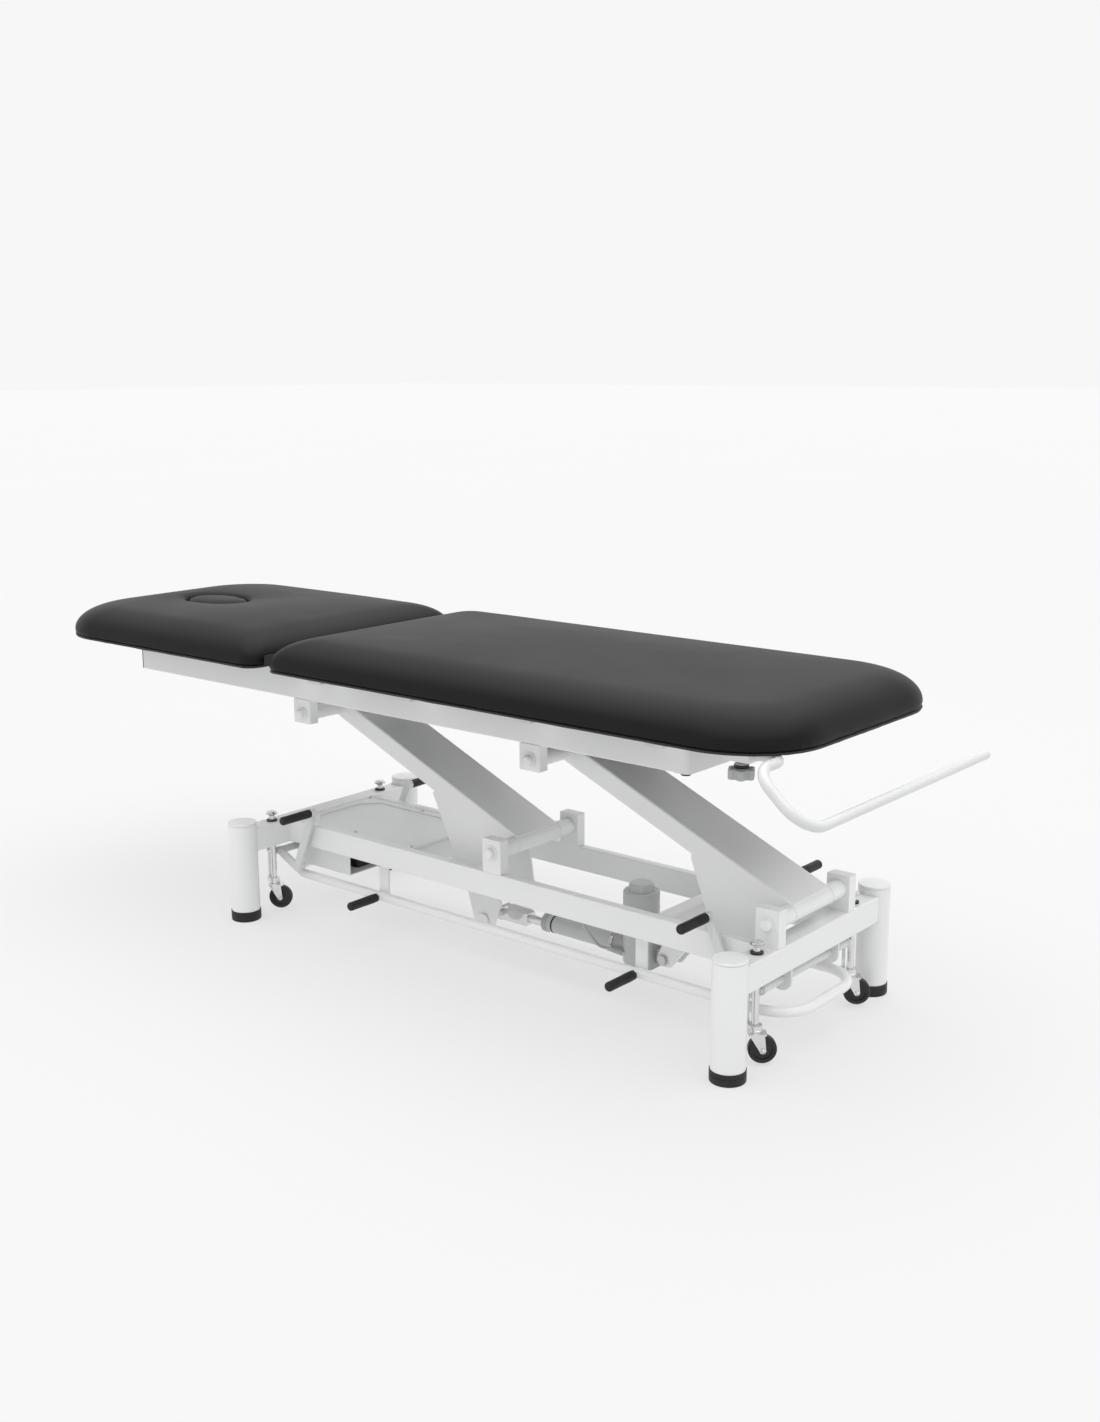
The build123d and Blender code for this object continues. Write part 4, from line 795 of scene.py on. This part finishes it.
tray_lo, tray_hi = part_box("tray_plate")
TRAY_MARGIN = 0.009
screws_x = (tray_lo.x + TRAY_MARGIN, (tray_lo.x + tray_hi.x) / 2, tray_hi.x - TRAY_MARGIN)
screws_y = (tray_lo.y + TRAY_MARGIN, tray_hi.y - TRAY_MARGIN)
for index, (x, y) in enumerate((a, b) for a in screws_x for b in screws_y):
    socket_screw(f"tray_screw_{index}", (x, y, tray_hi.z), (0, 0, 1), 0.0038, zinc, "base")

# Knob: a black collar, and a metal insert under it.
knob_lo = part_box("clamp_knob")[0]
knob_axis = Vector(joint_at["knob_turn"]["pos_m"])
ring_band("knob_collar", (knob_axis.x, knob_axis.y, knob_lo.z + 0.0180), (0, 0, 1),
          0.0105, 0.0122, 0.0055, black_plastic, "knob")
turned("knob_insert", [(0.0, 0.0001), (0.0, 0.0075), (0.0006, 0.0072), (0.0008, 0.0040)],
       (knob_axis.x, knob_axis.y, knob_lo.z), (0, 0, -1), zinc, "knob")


# =====================================================================
# Motor lead: the free tail, swept as a round cord along a curve
# =====================================================================
LEAD_R = 0.003
RELIEF_Y, RELIEF_Z = -0.030, 0.066
RAIL_LEAD_Y, RAIL_LEAD_Z = -0.097, 0.156
tail_route = [
    (base_x + 0.205, RELIEF_Y, RELIEF_Z),
    (base_x + 0.198, RELIEF_Y, RELIEF_Z),
    (base_x + 0.178, RELIEF_Y - 0.002, RELIEF_Z + 0.001),
    (base_x + 0.173, -0.046, 0.088),
    (base_x + 0.186, -0.076, 0.112),
    (base_x + 0.189, RAIL_LEAD_Y, 0.136),
    (base_x + 0.180, RAIL_LEAD_Y, RAIL_LEAD_Z),
    (base_x + 0.165, RAIL_LEAD_Y, RAIL_LEAD_Z),
]
curve = bpy.data.curves.new("tail_curve", "CURVE")
curve.dimensions = "3D"
curve.bevel_depth = LEAD_R
curve.bevel_resolution = 6
curve.use_fill_caps = True
spline = curve.splines.new("NURBS")
spline.points.add(len(tail_route) - 1)
for control, point in zip(spline.points, tail_route):
    control.co = (*point, 1)
spline.order_u = 3
spline.use_endpoint_u = True
spline.resolution_u = 16
curve_object = bpy.data.objects.new("tail_curve", curve)
scene.collection.objects.link(curve_object)
evaluated_curve = curve_object.evaluated_get(bpy.context.evaluated_depsgraph_get())
tail_mesh = bpy.data.meshes.new_from_object(evaluated_curve)
bpy.data.objects.remove(curve_object)
tail_mesh.materials.clear()
tail_mesh.materials.append(cable_skin)
tail_mesh.shade_smooth()
tail = bpy.data.objects.new("motor_lead_tail_skin", tail_mesh)
scene.collection.objects.link(tail)
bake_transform(tail)
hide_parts("motor_lead_tail")


# =====================================================================
# Camera, floor and light
# =====================================================================
AZIMUTH, ELEVATION, ROLL = (math.radians(value) for value in (39.8062, 12.5872, -0.2342))
LENS_MM = 39.75
FROM_BASE_X, CAMERA_Y, CAMERA_Z = 1.9354, -2.2829, 1.1679
back = Vector((math.sin(AZIMUTH) * math.cos(ELEVATION), -math.cos(AZIMUTH) * math.cos(ELEVATION),
               math.sin(ELEVATION)))
right = Vector((math.cos(AZIMUTH), math.sin(AZIMUTH), 0))
up = back.cross(right)
rolled_right = math.cos(ROLL) * right + math.sin(ROLL) * up
rolled_up = math.cos(ROLL) * up - math.sin(ROLL) * right
camera_data = bpy.data.cameras.new("camera")
camera_data.lens = LENS_MM
camera_data.sensor_width = 36.0
camera_data.clip_end = 200
camera = bpy.data.objects.new("camera", camera_data)
scene.collection.objects.link(camera)
axes = Matrix((rolled_right, rolled_up, back)).transposed().to_4x4()
camera.matrix_world = Matrix.Translation((base_x + FROM_BASE_X, CAMERA_Y, CAMERA_Z)) @ axes
scene.camera = camera

# The studio: a pale horizon, a greyer band above it, a bright top, and the side behind
# the camera slightly dimmer.
world = bpy.data.worlds.new("studio")
world.use_nodes = True
scene.world = world
links = world.node_tree.links
background = world.node_tree.nodes["Background"]
direction = add(world, "ShaderNodeTexCoord")


def world_ramp(along, stops):
    """Grey levels by how far a direction leans along a fixed vector."""
    dot = add(world, "ShaderNodeVectorMath", operation="DOT_PRODUCT")
    dot.inputs[1].default_value = along
    links.new(direction.outputs["Generated"], dot.inputs[0])
    spread = add(world, "ShaderNodeMapRange")
    spread.inputs["From Min"].default_value = -1
    links.new(dot.outputs["Value"], spread.inputs["Value"])
    return ramp(world, spread.outputs["Result"], [(place, (level,) * 3) for place, level in stops])


HORIZON = 0.93
ZENITH = 2.3
by_height = world_ramp((0, 0, 1), [(0.0, HORIZON), (0.622, HORIZON), (0.66, 0.90), (0.80, 0.60),
                                   (0.90, ZENITH), (1.0, ZENITH)])
by_side = world_ramp((right.y, -right.x, 0), [(0.0, 1.0), (0.5, 1.0), (0.8, 0.95), (1.0, 0.95)])
blend_sides = add(world, "ShaderNodeMix", data_type="RGBA", blend_type="MULTIPLY")
blend_sides.inputs["Factor"].default_value = 1.0
links.new(by_height, blend_sides.inputs["A"])
links.new(by_side, blend_sides.inputs["B"])
links.new(blend_sides.outputs["Result"], background.inputs["Color"])

# Pale floor that glows a little, so that shadows on it stay light.
FLOOR_ALBEDO = 0.22
FLOOR_GLOW = 0.602
FLOOR_HALF = 60
FLOOR_DRIFT = 0.002
floor_mat = material("pale_floor", (FLOOR_ALBEDO,) * 3, 0.9, Specular_IOR_Level=0.05,
                     Emission_Color=(FLOOR_GLOW, FLOOR_GLOW, FLOOR_GLOW, 1), Emission_Strength=1.0)
floor_tones = [(0.3, (FLOOR_ALBEDO - FLOOR_DRIFT,) * 3), (0.7, (FLOOR_ALBEDO + FLOOR_DRIFT,) * 3)]
floor_noise = noise_tex(floor_mat, object_coords(floor_mat), 0.7)
wire(floor_mat, ramp(floor_mat, floor_noise, floor_tones), "Base Color")
floor_corners = [(x * FLOOR_HALF, y * FLOOR_HALF, 0) for x, y in ((-1, -1), (1, -1), (1, 1), (-1, 1))]
floor = piece("floor", floor_corners, [(0, 1, 2, 3)], floor_mat, None)


def softbox(name, place, target, size, power):
    data = bpy.data.lights.new(name, "AREA")
    data.shape = "RECTANGLE"
    data.size, data.size_y = size
    data.energy = power
    light = bpy.data.objects.new(name, data)
    scene.collection.objects.link(light)
    light.location = place
    light.rotation_euler = (Vector(target) - Vector(place)).to_track_quat("-Z", "Y").to_euler()


softbox("overhead", (-0.4, 1.6, 2.6), (0, 0, 0.5), (2.6, 1.4), 6)
